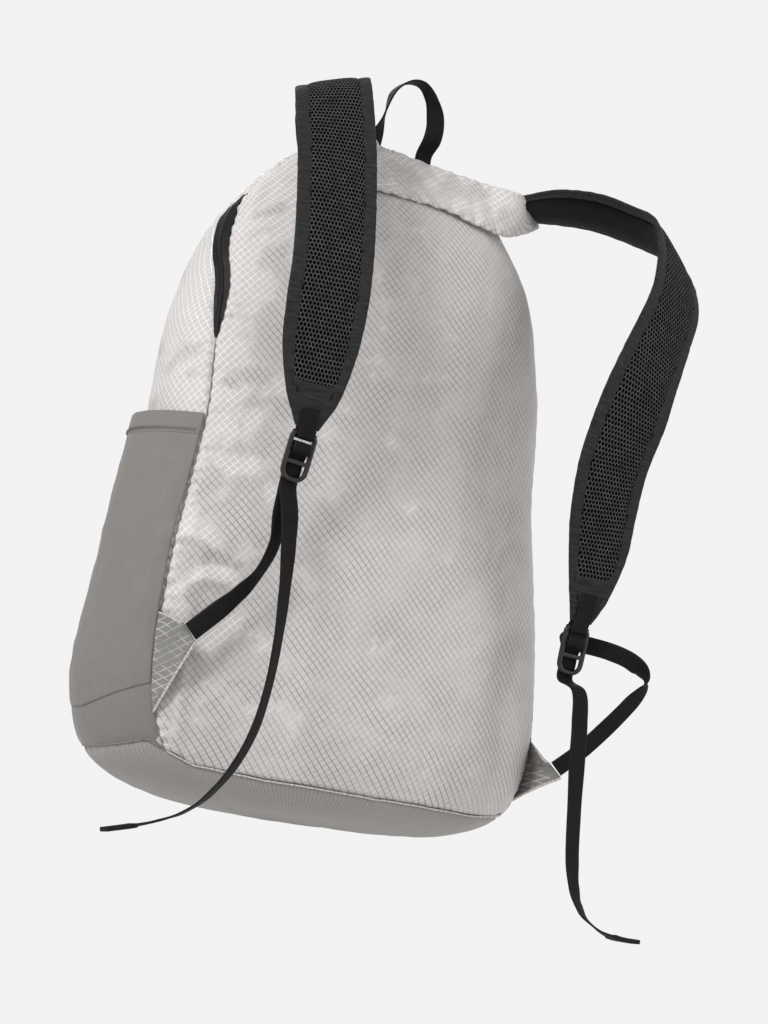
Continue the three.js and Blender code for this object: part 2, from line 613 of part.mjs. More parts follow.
// A patch of a pocket between two depths below its mouth. It is shut at its side seams and stands
// off the side between them, most at the mouth.
function pocketPatch(side, from, to, thickness, rows) {
  const outer = [];
  const inner = [];
  spread(from, to, rows).forEach((below) => {
    const share = shareAtDown((POCKET_MOUTH + below) / BODY_HEIGHT);
    const rise = bodyCurve(share)[0];
    const start = turnAtSeam(share, side, POCKET_SET);
    const end = -Math.PI / 2 + side * POCKET_TURN;
    const loose = POCKET_BULGE * (1 - (0.75 * below) / POCKET_HEIGHT);
    const row = spread(0, 1, POCKET_COLUMNS).map((across) => {
      const turn = start + (end - start) * across;
      const off = POCKET_CLEAR + (loose + pocketDent(rise, turn)) * Math.sin(Math.PI * across);
      return [bodyPoint(share, turn, off + thickness), bodyPoint(share, turn, off)];
    });
    outer.push(row.map((pair) => pair[0]));
    inner.push(row.map((pair) => pair[1]));
  });
  return sheet(outer, inner);
}

function addPocket(side, word) {
  const low = HEM_HEIGHT + SEAM_GAP;
  addMesh("pocket_" + word, pocketPatch(side, low, POCKET_HEIGHT, POCKET_CLOTH, POCKET_ROWS), "stretch");
  addMesh("pocket_hem_" + word, pocketPatch(side, 0, HEM_HEIGHT, HEM_CLOTH, 1), "stretch");
}

// A strip through a table of sections: the middle, the way of the width and the way off the face.
function stripFrames(rows, count) {
  const curve = tableCurve(
    rows.map((row) => ({ ...row, ax: row.across[0], ay: row.across[1], az: row.across[2] })),
    ["out", "fore", "down", "ax", "ay", "az", "width"],
  );
  const at = (share) => {
    const [out, fore, down] = curve(share);
    return place(out, fore, down);
  };
  return (share) => {
    const step = 0.5 / count;
    const run = at(Math.min(share + step, 1)).sub(at(Math.max(share - step, 0))).normalize();
    const [, , , ax, ay, az, width] = curve(share);
    const face = run.clone().cross(vector(ax, ay, az)).normalize();
    const across = vector(ax, ay, az).normalize();
    return { middle: at(share), across, face, width };
  };
}

// Rings of a flat strip's section at several shares of a frame function. from and to are the
// section's ends as shares of its width, and an eased section has pointed edges.
function stripRings(frameAt, shares, from, to, inset, thickness, eased) {
  const half = thickness / 2;
  return shares.map((share) => {
    const frame = frameAt(share);
    const low = from * frame.width + inset;
    const high = to * frame.width - inset;
    const outline = eased
      ? [
          [low, 0],
          [low + half, -half],
          [high - half, -half],
          [high, 0],
          [high - half, half],
          [low + half, half],
        ]
      : [
          [low, -half],
          [high, -half],
          [high, half],
          [low, half],
        ];
    return outline.map(([u, v]) =>
      frame.middle.clone().addScaledVector(frame.across, u).addScaledVector(frame.face, v),
    );
  });
}

function spread(from, to, count) {
  return Array.from({ length: count + 1 }, (_, i) => from + ((to - from) * i) / count);
}

const STRAPS = {
  left: { side: LEFT, rows: STRAP_LEFT, pad_end: 0.83, steps: 22 },
  right: { side: RIGHT, rows: STRAP_RIGHT, pad_end: 0.9, steps: 24 },
};

// The frames of one strap, whose face always looks away from the wearer's shoulder.
function strapFrames(strap) {
  const frames = stripFrames(strap.rows, strap.steps);
  return (share) => {
    const frame = frames(share);
    frame.width *= STRAP_WIDTH;
    frame.face.multiplyScalar(strap.side);
    return frame;
  };
}

function addStrap(strap, word) {
  const frames = strapFrames(strap);
  const shares = spread(0, strap.pad_end, strap.steps);
  const tongue = spread(strap.pad_end + CLEAR / strapLength(strap), 1, 4);
  const seam = 0.5 - BINDING_WIDTH / STRAP_WIDTH;
  const pad = loft(stripRings(frames, shares, -seam, seam, CLEAR, PAD_THICK, true));
  addMesh("strap_pad_" + word, pad, "mesh");
  const all = [...shares, ...tongue];
  const low = loft(stripRings(frames, all, -0.5, -seam, 0, BINDING_THICK, false));
  const high = loft(stripRings(frames, all, seam, 0.5, 0, BINDING_THICK, false));
  const end = loft(stripRings(frames, tongue, -0.5, 0.5, 1, BINDING_THICK, false));
  addMesh("strap_binding_" + word, low.add(high).add(end), "binding");
}

// The frame of a buckle: its middle, the ways down and across it and off its face.
function buckleFrame(row) {
  const run = vector(...row.run).normalize();
  const face = run.clone().cross(vector(...row.across)).normalize();
  const across = face.clone().cross(run).normalize();
  return { middle: place(row.out, row.fore, row.down), run, across, face };
}

function inBuckle(frame, along, off) {
  return frame.middle.clone().addScaledVector(frame.run, along).addScaledVector(frame.face, off);
}

// Where the buckle's bars lie along it, measured from its middle.
const TOP_BAR = -BUCKLE_LENGTH / 2 + BUCKLE_BAR / 2;
const MIDDLE_BAR = TOP_BAR + BUCKLE_BAR + BUCKLE_SLOT;
const LOWER_BAR = MIDDLE_BAR + BUCKLE_BAR + BUCKLE_SLOT;

function roundedHole(width, low, high, round) {
  const hole = new THREE.Path();
  const half = width / 2;
  hole.moveTo(-half + round, low);
  hole.lineTo(half - round, low);
  hole.absarc(half - round, low + round, round, -Math.PI / 2, 0, false);
  hole.lineTo(half, high - round);
  hole.absarc(half - round, high - round, round, 0, Math.PI / 2, false);
  hole.lineTo(-half + round, high);
  hole.absarc(-half + round, high - round, round, Math.PI / 2, Math.PI, false);
  hole.lineTo(-half, low + round);
  hole.absarc(-half + round, low + round, round, Math.PI, 1.5 * Math.PI, false);
  return hole;
}

// A ladder-lock buckle with two slots and a thumb window at its free end.
function buckleSolid(row) {
  const half = BUCKLE_WIDTH / 2;
  const end = BUCKLE_LENGTH / 2;
  const shape = new THREE.Shape();
  const round = BUCKLE_BAR;
  shape.moveTo(-half + round, -end);
  shape.lineTo(half - round, -end);
  shape.absarc(half - round, -end + round, round, -Math.PI / 2, 0, false);
  shape.lineTo(half, end - 2 * round);
  shape.lineTo(half - 1.6 * round, end);
  shape.lineTo(-half + 1.6 * round, end);
  shape.lineTo(-half, end - 2 * round);
  shape.absarc(-half + round, -end + round, round, Math.PI, 1.5 * Math.PI, false);
  const slot = WEBBING_WIDTH + 4 * CLEAR;
  [TOP_BAR, MIDDLE_BAR].forEach((bar) => {
    const from = bar + BUCKLE_BAR / 2;
    shape.holes.push(roundedHole(slot, from, from + BUCKLE_SLOT, BUCKLE_ROUND));
  });
  const window = LOWER_BAR + BUCKLE_BAR / 2;
  shape.holes.push(roundedHole(slot - BUCKLE_BAR, window, end - 0.8 * BUCKLE_BAR, BUCKLE_ROUND));
  const geometry = new THREE.ExtrudeGeometry(shape, {
    depth: BUCKLE_THICK,
    bevelEnabled: false,
    curveSegments: 2,
  });
  geometry.translate(0, 0, -BUCKLE_THICK / 2);
  const frame = buckleFrame(row);
  const away = frame.across.clone().cross(frame.run);
  geometry.applyMatrix4(new THREE.Matrix4().makeBasis(frame.across, frame.run, away));
  geometry.translate(frame.middle.x, frame.middle.y, frame.middle.z);
  return solidOf(geometry);
}

// A strip along a smooth path whose knots are points, each with the way its width runs. It has
// two steps between near knots and a step for each RIBBON_STEP between far ones.
function ribbon(knots, width, thickness, folded) {
  const path = new THREE.CatmullRomCurve3(knots.map((knot) => knot.point), false, "centripetal");
  const spans = knots.length - 1;
  const shares = knots.slice(1).flatMap((knot, i) => {
    const steps = Math.max(2, Math.ceil(knot.point.distanceTo(knots[i].point) / RIBBON_STEP));
    return spread(i / spans, (i + 1) / spans, steps).slice(i === 0 ? 0 : 1);
  });
  let left = folded;
  const points = shares.map((share) => path.getPoint(share));
  const halves = points.map(() => thickness / 2);
  for (let i = points.length - 1; i > 0 && left > 0; i--) {
    halves[i] = (thickness * TIP_FOLD) / 2;
    left -= points[i].distanceTo(points[i - 1]);
  }
  const rings = shares.map((share, i) => {
    const low = Math.min(Math.floor(share * spans), spans - 1);
    const run = path.getTangent(share);
    const across = knots[low].across.clone().lerp(knots[low + 1].across, share * spans - low);
    across.addScaledVector(run, -across.dot(run)).normalize();
    const face = run.clone().cross(across);
    return [
      [-width / 2, -halves[i]],
      [width / 2, -halves[i]],
      [width / 2, halves[i]],
      [-width / 2, halves[i]],
    ].map(([u, v]) => points[i].clone().addScaledVector(across, u).addScaledVector(face, v));
  });
  return loft(rings);
}

function tableKnots(rows) {
  return rows.map((row) => ({
    point: place(row.out, row.fore, row.down),
    across: vector(...row.across).normalize(),
  }));
}

// The webbing's way through the buckle: up behind it, forward over the middle bar and back down.
// A hanging tail makes a straight run behind the buckle first.
function buckleKnots(frame, hangs) {
  const turn = BUCKLE_BAR / 2 + CLEAR + WEBBING_THICK / 2 + WEBBING_SLACK;
  const front = BUCKLE_THICK / 2 + CLEAR + WEBBING_THICK / 2;
  const back = front + WEBBING_THICK + 2 * CLEAR;
  const places = [
    [MIDDLE_BAR + 0.9 * turn, -back],
    [MIDDLE_BAR - 0.7 * turn, -1.2 * front],
    [MIDDLE_BAR - turn, 0],
    [MIDDLE_BAR - 0.7 * turn, front],
    [MIDDLE_BAR + 0.7 * turn, front],
    [MIDDLE_BAR + turn, 0],
    [LOWER_BAR - 0.3 * turn, -front],
    [LOWER_BAR + 1.5 * turn, -front],
    [BUCKLE_LENGTH / 2 + 0.9 * turn, -0.8 * front],
  ];
  if (hangs) places.unshift([LOWER_BAR + 0.9 * turn, -back], [MIDDLE_BAR + 2.3 * turn, -back]);
  return places.map(([along, off]) => ({
    point: inBuckle(frame, along, off),
    across: frame.across.clone(),
  }));
}

function addWebbing(word, adjuster, tail, buckle, hangs) {
  const frame = buckleFrame(buckle);
  const knots = [...tableKnots(adjuster), ...buckleKnots(frame, hangs), ...tableKnots(tail)];
  addMesh("webbing_" + word, ribbon(knots, WEBBING_WIDTH, WEBBING_THICK, TIP_LENGTH), "webbing");
  addMesh("buckle_" + word, buckleSolid(buckle), "plastic");
}

// The tape that is sewn down the strap's end and holds the buckle by its top bar.
function addTape(strap, word, buckle) {
  const frames = strapFrames(strap);
  const frame = buckleFrame(buckle);
  const lift = BINDING_THICK / 2 + CLEAR + TAPE_THICK / 2;
  const bar = Math.hypot(BUCKLE_BAR, BUCKLE_THICK) / 2 + CLEAR + TAPE_THICK / 2;
  const start = 1 - TAPE_LENGTH / strapLength(strap);
  const stop = 1 - CLEAR / BUCKLE_LENGTH;
  const onFace = (share, off) => {
    const { middle, face, across } = frames(share);
    return { point: middle.addScaledVector(face, off), across: across.multiplyScalar(strap.side) };
  };
  const round = (along, off) => ({
    point: inBuckle(frame, TOP_BAR + along * bar, off * bar),
    across: frame.across.clone(),
  });
  const knots = [
    ...spread(start, stop, 3).map((share) => onFace(share, lift)),
    round(-0.4, 1),
    round(0.75, 0.7),
    round(1, 0),
    round(0.75, -0.7),
    round(-0.4, -1),
    onFace(stop, -lift),
    onFace(1 - 0.4 * (1 - start), -lift),
  ];
  addMesh("buckle_tape_" + word, ribbon(knots, TAPE_WIDTH, TAPE_THICK, 0), "webbing");
}

function strapLength(strap) {
  const frames = strapFrames(strap);
  const points = spread(0, 1, 40).map((share) => frames(share).middle);
  return points.slice(1).reduce((sum, p, i) => sum + p.distanceTo(points[i]), 0);
}

// A point just under the inner face of a strap.
function underStrap(strap, share, across) {
  const frame = strapFrames(strap)(share);
  const off = PAD_THICK / 2 + YOKE_CLEAR + YOKE_CLOTH / 2;
  return frame.middle
    .clone()
    .addScaledVector(frame.across, across * frame.width)
    .addScaledVector(frame.face, -off);
}

// The body's back at a place seen from the wearer, or null beside or above the body.
function backFore(x, z) {
  const down = (BODY_TOP - z) / BODY_HEIGHT;
  if (down <= 0.002) return null;
  const [, halfWidth, halfDepth, fore] = bodyCurve(shareAtDown(down));
  const out = Math.abs((2 * (x - BODY_SIDE * down)) / BODY_WIDTH) / halfWidth;
  if (out >= 1) return null;
  const deep = (1 - out ** SECTION_POWER) ** (1 / SECTION_POWER);
  return fore * BODY_AXIS - (deep * halfDepth * BODY_DEPTH) / 2;
}

// One column of the yoke, kept clear of the body's back all the way down.
function yokeColumn(top, low, count) {
  return spread(0, 1, count).map((t) => {
    const point = top.clone().lerp(low, t);
    const back = backFore(point.x, point.z);
    const folds = foldLift(BACK_FOLDS, (2 * point.x) / BODY_WIDTH, (BODY_TOP - point.z) / BODY_HEIGHT);
    if (back !== null) {
      const limit = back - Math.max(folds, 0) - YOKE_CLEAR - YOKE_CLOTH / 2;
      point.y = Math.min(point.y, limit);
    }
    return point;
  });
}

function addYoke() {
  const rows = 5;
  const fromTable = (row) =>
    yokeColumn(
      place(row.top_out, row.top_fore, row.top_down),
      place(row.low_out, row.low_fore, row.low_down),
      rows,
    );
  const underRoot = (strap, from, to) =>
    spread(0, 1, rows).map((t) => underStrap(strap, from + (to - from) * t, t - 0.5));
  const columns = [
    underRoot(STRAPS.left, 0.03, 0.0),
    ...[...YOKE_LEFT].reverse().map(fromTable),
    ...YOKE_RIGHT.map(fromTable),
    underRoot(STRAPS.right, 0.0, 0.07),
  ];
  const normalAt = (c, r) => {
    const before = columns[Math.max(c - 1, 0)][r];
    const after = columns[Math.min(c + 1, columns.length - 1)][r];
    const over = columns[c][Math.max(r - 1, 0)];
    const under = columns[c][Math.min(r + 1, rows)];
    return after.clone().sub(before).cross(under.clone().sub(over)).normalize();
  };
  const half = YOKE_CLOTH / 2;
  const face = (side) =>
    columns.map((column, c) => column.map((p, r) => p.clone().addScaledVector(normalAt(c, r), side * half)));
  addMesh("yoke", sheet(face(-1), face(1)), "ripstop");
}

function addHaulLoop() {
  const bend = LOOP_BEND.map((row) => ({
    point: vector(row.out * LOOP_SPAN, row.fore * LOOP_RISE, row.rise * LOOP_RISE + WEBBING_THICK / 2),
    across: vector(...row.across).normalize(),
  }));
  const [left, right] = LOOP_FEET.map((row) => {
    const foot = yokeFoot(Math.abs(row.out * LOOP_SPAN));
    foot.x = row.out * LOOP_SPAN;
    return [LOOP_TUCK, -LOOP_TUCK].map((lift) => ({
      point: foot.clone().add(vector(0, 0, lift)),
      across: vector(...row.across),
    }));
  });
  const knots = [...left.reverse(), ...bend, ...right];
  addMesh("haul_loop", ribbon(knots, WEBBING_WIDTH, WEBBING_THICK, 0), "webbing");
}

// Where a leg of the haul loop goes down behind the yoke's top edge.
function yokeFoot(x) {
  const out = (2 * x) / BODY_WIDTH;
  const fore = readTable(YOKE_RIGHT, "top_out", out, "top_fore");
  const edge = place(out, fore, readTable(YOKE_RIGHT, "top_out", out, "top_down"));
  return edge.add(vector(0, YOKE_CLOTH / 2 + CLEAR + WEBBING_THICK / 2, 0));
}

function addTab(word, side, row, adjuster) {
  const rows = 4;
  const columns = 4;
  const tip = tableKnots(adjuster)[0];
  const gap = WEBBING_THICK / 2 + CLEAR + TAB_CLOTH / 2;
  const centre = tip.point.clone();
  centre.y += gap;
  const points = spread(0, 1, columns).map((t) => {
    const share = shareAtDown(row.from_down + (row.to_down - row.from_down) * t);
    const base = bodyPoint(share, turnAtSeam(share, side, 0), CLEAR + 0.45 * TAB_CLOTH);
    const end = centre.clone().addScaledVector(tip.across, (t - 0.5) * TAB_TIP);
    return spread(0, 1, rows).map((along) => base.clone().lerp(end, along));
  });
  const normalAt = (c, r) => {
    const a = points[Math.min(c + 1, columns)][r].clone().sub(points[Math.max(c - 1, 0)][r]);
    const b = points[c][Math.min(r + 1, rows)].clone().sub(points[c][Math.max(r - 1, 0)]);
    return a.cross(b).normalize();
  };
  const face = (sign) =>
    points.map((column, c) =>
      column.map((p, r) => p.clone().addScaledVector(normalAt(c, r), (sign * TAB_CLOTH) / 2)),
    );
  addMesh("corner_tab_" + word, sheet(face(1), face(-1)), "ripstop");
}

// The zipper's one slider, with its pull hanging down, at the closed end on the right.
function addSlider() {
  const share = shareAtDown(SLIDER_DOWN);
  const turn = turnAtSeam(share, RIGHT, 0);
  const out = bodyNormal(share, turn);
  const up = bodyPoint(share + 0.01, turn, 0).sub(bodyPoint(share, turn, 0));
  up.addScaledVector(out, -up.dot(out)).normalize();
  const side = up.clone().cross(out);
  const body = new THREE.BoxGeometry(SLIDER_WIDTH, SLIDER_LENGTH, SLIDER_THICK);
  body.translate(0, 0, SLIDER_THICK / 2);
  const pull = new THREE.BoxGeometry(0.5 * SLIDER_WIDTH, PULL_LENGTH, WEBBING_THICK);
  pull.translate(0, -PULL_LENGTH / 2, SLIDER_THICK);
  const turned = new THREE.Matrix4().makeBasis(side, up, out).setPosition(bodyPoint(share, turn, 0));
  body.applyMatrix4(turned);
  pull.applyMatrix4(turned);
  addMesh("zipper_slider", solidOf(body).add(solidOf(pull)), "plastic");
}

addBody();
addSlider();
addPocket(LEFT, "left");
addPocket(RIGHT, "right");
addYoke();
addHaulLoop();
addStrap(STRAPS.left, "left");
addStrap(STRAPS.right, "right");
addTape(STRAPS.left, "left", BUCKLE_LEFT);
addTape(STRAPS.right, "right", BUCKLE_RIGHT);
addWebbing("left", ADJUSTER_LEFT, TAIL_LEFT, BUCKLE_LEFT, true);
addWebbing("right", ADJUSTER_RIGHT, TAIL_RIGHT, BUCKLE_RIGHT, false);
addTab("left", LEFT, TAB_LEFT, ADJUSTER_LEFT);
addTab("right", RIGHT, TAB_RIGHT, ADJUSTER_RIGHT);

export default pack;
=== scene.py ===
"""Packable backpack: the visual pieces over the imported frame, in metres."""

import bpy
import math
import numpy as np
from mathutils import Matrix, Vector, noise


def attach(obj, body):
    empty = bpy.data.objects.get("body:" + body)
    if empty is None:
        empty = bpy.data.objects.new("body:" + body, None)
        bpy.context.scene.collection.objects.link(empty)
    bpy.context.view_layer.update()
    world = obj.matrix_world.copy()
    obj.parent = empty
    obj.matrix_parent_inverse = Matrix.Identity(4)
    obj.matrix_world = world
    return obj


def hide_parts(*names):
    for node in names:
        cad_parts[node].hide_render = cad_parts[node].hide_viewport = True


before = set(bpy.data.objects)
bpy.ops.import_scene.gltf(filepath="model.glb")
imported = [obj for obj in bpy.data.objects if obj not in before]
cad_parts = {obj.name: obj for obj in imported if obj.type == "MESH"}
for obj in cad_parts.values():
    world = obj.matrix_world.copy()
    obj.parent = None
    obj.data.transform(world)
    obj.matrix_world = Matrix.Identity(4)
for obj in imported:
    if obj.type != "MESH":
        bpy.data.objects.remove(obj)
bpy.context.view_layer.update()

# Lengths are in millimetres until a mesh is made, and turns are in radians.
MM = 0.001
HEIGHT, WIDTH, DEPTH = 452.0, 330.0, 148.0
TOP = -52.0
BODY_SIDE, BODY_AXIS = 5.0, 45.0
POWER = 2.4
SEAM_FORE, SEAM_SKEW, SEAM_DIP, ZIPPER_WIDTH = 9.0, 0.1, 1.3, 15.0
BASE_RISE, LENS_LOW, LENS_TOP = 0.06, 0.663, 0.897
POCKET_MOUTH, POCKET_HEIGHT, POCKET_DENT = 199.0, 195.0, 8.5
POCKET_TURN, POCKET_BULGE = 0.73 * math.pi, 2.2
POCKET_CLOTH, HEM_HEIGHT, SEAM_SIDE, GUSSET_TOP = POCKET_HEIGHT - 12, 15.0, 0.6, 165.0
STRAP_WIDTH, PAD_THICK, BINDING_WIDTH, BINDING_THICK = 58.0, 4.6, 10.0, 3.0
WEBBING_WIDTH, WEBBING_THICK, TIP_LENGTH = 12.5, 1.3, 20.0
TAPE_WIDTH, TAPE_THICK, TAPE_LENGTH = 12.0, 1.2, 34.0
BUCKLE_WIDTH, BUCKLE_LENGTH, BUCKLE_THICK, BUCKLE_BAR, BUCKLE_SLOT = 19.5, 33.0, 3.4, 3.0, 6.4
LOOP_RISE, LOOP_SPAN, LOOP_TUCK = 50.0, 40.0, 5.0
TAB_TIP, TAB_HALF, YOKE_HALF, CLEAR = 15.0, 0.8, 0.9, 0.4
STITCH_RADIUS, STITCH_PITCH = 0.26, 3.4
# How finely the solids step along a strap, as a share of its table.
STRAP_STEP = 1 / 23
# The share of the full creases in cloth that its seams hold flat.
CALM = 0.8
LEFT, RIGHT = -1, 1

# Tables in shares of the body's half width, depth and height, as the solids have them.
# The body from the bottom up: rise, half_width, half_depth, fore.
BODY_SECTIONS = [
    (0, 0.12, 0.1, 1.02),
    (0.003, 0.36, 0.34, 1.02),
    (0.009, 0.58, 0.57, 1.02),
    (0.022, 0.73, 0.74, 1.02),
    (0.042, 0.85, 0.85, 1.02),
    (0.071, 0.93, 0.93, 1.02),
    (0.119, 0.98, 0.99, 1.02),
    (0.192, 1, 1, 1),
    (0.3, 0.97, 0.98, 0.93),
    (0.437, 0.93, 0.946, 0.89),
    (0.549, 0.89, 0.905, 0.87),
    (0.68, 0.842, 0.865, 0.84),
    (0.75, 0.8, 0.8, 0.8),
    (0.788, 0.776, 0.757, 0.76),
    (0.832, 0.733, 0.7, 0.72),
    (0.867, 0.685, 0.65, 0.7),
    (0.898, 0.624, 0.6, 0.7),
    (0.925, 0.57, 0.554, 0.71),
    (0.949, 0.509, 0.493, 0.73),
    (0.969, 0.455, 0.42, 0.74),
    (0.984, 0.4, 0.324, 0.75),
    (0.994, 0.34, 0.21, 0.76),
    (0.999, 0.28, 0.11, 0.76),
    (1, 0.12, 0.04, 0.76),
]
# The side seam, with half the zipper tape that shows in it: rise, fore, half_tape.
SEAM_LINE = [
    (-0.1, 0, 0),
    (0.57, 0, 0),
    (0.662, 0.055, 0),
    (0.667, 0.06, 0.04),
    (0.7, 0.09, 0.16),
    (0.74, 0.15, 0.24),
    (0.77, 0.22, 0.28),
    (0.81, 0.38, 0.38),
    (0.855, 0.53, 0.5),
    (0.9, 0.6, 0.5),
    (0.95, 0.58, 0.5),
    (1.1, 0.56, 0.5),
]
# The seam above the base panel: out, rise.
BASE_SEAM = [
    (-1.3, 0.058),
    (-0.93, 0.06),
    (-0.84, 0.068),
    (-0.77, 0.077),
    (-0.7, 0.066),
    (-0.58, 0.05),
    (-0.3, 0.044),
    (0.3, 0.044),
    (0.7, 0.045),
    (0.84, 0.052),
    (0.95, 0.062),
    (1.3, 0.062),
]
# The yoke's two edges from the middle outwards: out, fore, down of the top one, then of the low one.
YOKE_RIGHT = [
    (0, 0.095, -0.016, 0, -0.08, 0.066),
    (0.17, 0.085, -0.009, 0.16, -0.08, 0.067),
    (0.31, 0.06, -0.003, 0.29, -0.075, 0.075),
    (0.42, 0.025, 0.003, 0.4, -0.06, 0.08),
    (0.5, -0.015, 0.007, 0.5, -0.04, 0.082),
    (0.545, -0.04, 0.011, 0.62, 0.035, 0.064),
]
YOKE_LEFT = [
    (-0.05, 0.092, -0.017, -0.15, -0.08, 0.067),
    (-0.07, 0.084, -0.016, -0.27, -0.075, 0.074),
    (-0.085, 0.07, -0.014, -0.37, -0.06, 0.078),
    (-0.095, 0.055, -0.012, -0.45, -0.03, 0.07),
    (-0.1, 0.035, -0.009, -0.48, 0, 0.045),
]
# The haul loop in shares of its span and rise: out, fore, rise, and the way across it.
LOOP_BEND = [
    (-0.41, 0.1, -0.5, 0.4, 0.92, 0),
    (-0.34, 0.02, -0.18, 0.1, 1, 0.1),
    (-0.08, 0, 0, 0, 1, 0),
    (0.17, 0, 0.01, 0, 1, 0),
    (0.38, 0.02, -0.14, -0.3, 0.95, 0.1),
    (0.53, 0.05, -0.42, -0.75, 0.66, 0),
    (0.55, 0.1, -0.66, -0.9, 0.44, 0),
]
# Its feet: out, and the way across.
LOOP_FEET = [
    (-0.41, 0.95, 0.3, 0),
    (0.55, -1, 0, 0),
]
# A strap from the yoke down: out, fore, down, the way across it, and its share of the full width.
STRAP_LEFT = [
    (-0.29, 0.07, 0.004, -0.95, 0.06, -0.3, 0.95),
    (-0.313, 0.052, -0.026, -0.95, 0.04, -0.31, 1),
    (-0.349, 0.005, -0.056, -0.94, 0.02, -0.34, 1),
    (-0.395, -0.075, -0.069, -0.93, 0, -0.36, 1),
    (-0.43, -0.165, -0.06, -0.94, 0, -0.34, 1),
    (-0.455, -0.26, -0.028, -0.97, 0, -0.24, 1),
    (-0.465, -0.38, 0.055, -0.995, 0, -0.1, 1),
    (-0.472, -0.47, 0.15, -1, 0, -0.03, 1),
    (-0.475, -0.515, 0.23, -1, 0, -0.03, 1),
    (-0.48, -0.525, 0.297, -1, 0, -0.03, 1),
    (-0.48, -0.51, 0.36, -1, 0, -0.02, 0.92),
    (-0.468, -0.475, 0.42, -1, 0, 0, 0.68),
    (-0.457, -0.44, 0.45, -1, 0, 0, 0.44),
    (-0.452, -0.417, 0.4655, -1, 0, 0.05, 0.3),
]
STRAP_RIGHT = [
    (0.594, 0.169, 0.018, 0.13, 0.98, -0.13, 0.93),
    (0.776, 0.128, 0, 0.31, 0.93, -0.18, 0.965),
    (0.964, 0.047, -0.002, 0.49, 0.85, -0.19, 1),
    (1.109, -0.081, 0.018, 0.66, 0.71, -0.26, 1),
    (1.176, -0.216, 0.042, 0.77, 0.52, -0.36, 1),
    (1.17, -0.345, 0.084, 0.82, 0.37, -0.43, 1),
    (1.127, -0.459, 0.137, 0.83, 0.3, -0.47, 1),
    (1.061, -0.534, 0.197, 0.82, 0.32, -0.48, 1),
    (0.945, -0.608, 0.29, 0.92, 0.21, -0.33, 1),
    (0.903, -0.595, 0.35, 0.98, 0.11, -0.16, 1),
    (0.873, -0.541, 0.427, 0.99, 0.11, 0, 0.99),
    (0.885, -0.48, 0.498, 0.99, 0.08, 0.08, 0.93),
    (0.903, -0.439, 0.555, 1, 0, 0.04, 0.79),
    (0.909, -0.39, 0.62, 0.99, -0.08, 0, 0.5),
    (0.908, -0.348, 0.6555, 0.99, -0.06, -0.02, 0.28),
]
# Webbing from a corner tab to the buckle: out, fore, down, and the way across.
ADJUSTER_LEFT = [
    (-0.74, -0.223, 0.772, 0.66, 0, -0.75),
    (-0.66, -0.237, 0.742, 0.66, 0, -0.75),
    (-0.575, -0.257, 0.708, 0.62, 0.45, -0.62),
    (-0.515, -0.284, 0.675, 0.62, 0.7, -0.35),
    (-0.475, -0.304, 0.633, 0.82, 0.55, -0.15),
    (-0.467, -0.318, 0.58, 1, 0, -0.05),
]
ADJUSTER_RIGHT = [
    (1.018, -0.081, 0.867, 0.82, 0.1, -0.56),
    (1.09, -0.135, 0.838, 0.82, 0.1, -0.56),
    (1.164, -0.182, 0.803, 0.84, 0.1, -0.54),
    (1.248, -0.23, 0.759, 0.85, 0.2, -0.5),
    (1.3, -0.257, 0.727, 0.6, 0.65, -0.45),
    (1.279, -0.27, 0.711, 0.35, 0.8, -0.5),
    (1.206, -0.297, 0.697, 0.2, 0.6, -0.78),
    (1.09, -0.304, 0.688, 0.1, 0.45, -0.9),
    (0.985, -0.25, 0.682, 0.3, 0.3, -0.9),
    (0.915, -0.235, 0.68, 0.9, 0.1, -0.4),
]
# Webbing from the buckle to its free tip: out, fore, down, and the way across.
TAIL_LEFT = [
    (-0.448, -0.352, 0.585, 1, 0, 0),
    (-0.436, -0.357, 0.631, 0.97, 0.25, 0),
    (-0.43, -0.365, 0.701, 0.85, 0.5, 0),
    (-0.436, -0.378, 0.772, 0.75, 0.65, 0),
    (-0.455, -0.392, 0.834, 0.7, 0.7, -0.1),
    (-0.485, -0.392, 0.892, 0.7, 0.7, -0.15),
    (-0.539, -0.392, 0.942, 0.6, 0.75, -0.25),
    (-0.624, -0.392, 0.989, 0.4, 0.85, -0.3),
    (-0.715, -0.392, 1.02, 0.2, 0.95, -0.2),
    (-0.824, -0.392, 1.04, 0.05, 1, -0.05),
    (-0.93, -0.392, 1.053, 0, 1, 0),
    (-1.042, -0.392, 1.064, 0, 1, 0),
]
TAIL_RIGHT = [
    (0.928, -0.365, 0.757, 1, 0.1, 0),
    (0.94, -0.385, 0.805, 1, 0, 0),
    (0.945, -0.392, 0.86, 1, 0, 0),
    (0.958, -0.392, 0.931, 0.97, 0.2, 0),
    (0.976, -0.392, 1.004, 0.96, 0.25, 0.1),
    (1, -0.392, 1.044, 0.85, 0.45, 0.25),
    (1.036, -0.392, 1.071, 0.6, 0.7, 0.4),
    (1.103, -0.392, 1.093, 0.25, 0.93, 0.25),
    (1.206, -0.392, 1.106, 0, 1, 0),
    (1.315, -0.392, 1.108, 0, 1, 0),
]
SIDES = ((LEFT, "left"), (RIGHT, "right"))


# Curves through tables of points.
def table(rows):
    return np.array(rows, float)


def unit(v):
    return v / np.maximum(np.linalg.norm(v, axis=-1, keepdims=True), 1e-9)


def lengths(points):
    """How far along its row each point lies."""
    step = np.linalg.norm(np.diff(points, axis=-2), axis=-1)
    return np.concatenate([np.zeros(step.shape[:-1] + (1,)), np.cumsum(step, axis=-1)], -1)


def span_at(share, spans):
    """The span that a share from 0 to 1 falls in, and how far along that span it is."""
    at = np.clip(np.asarray(share, float), 0, 1) * spans
    low = np.minimum(np.floor(at).astype(int), spans - 1)
    return low, (at - low)[..., None]


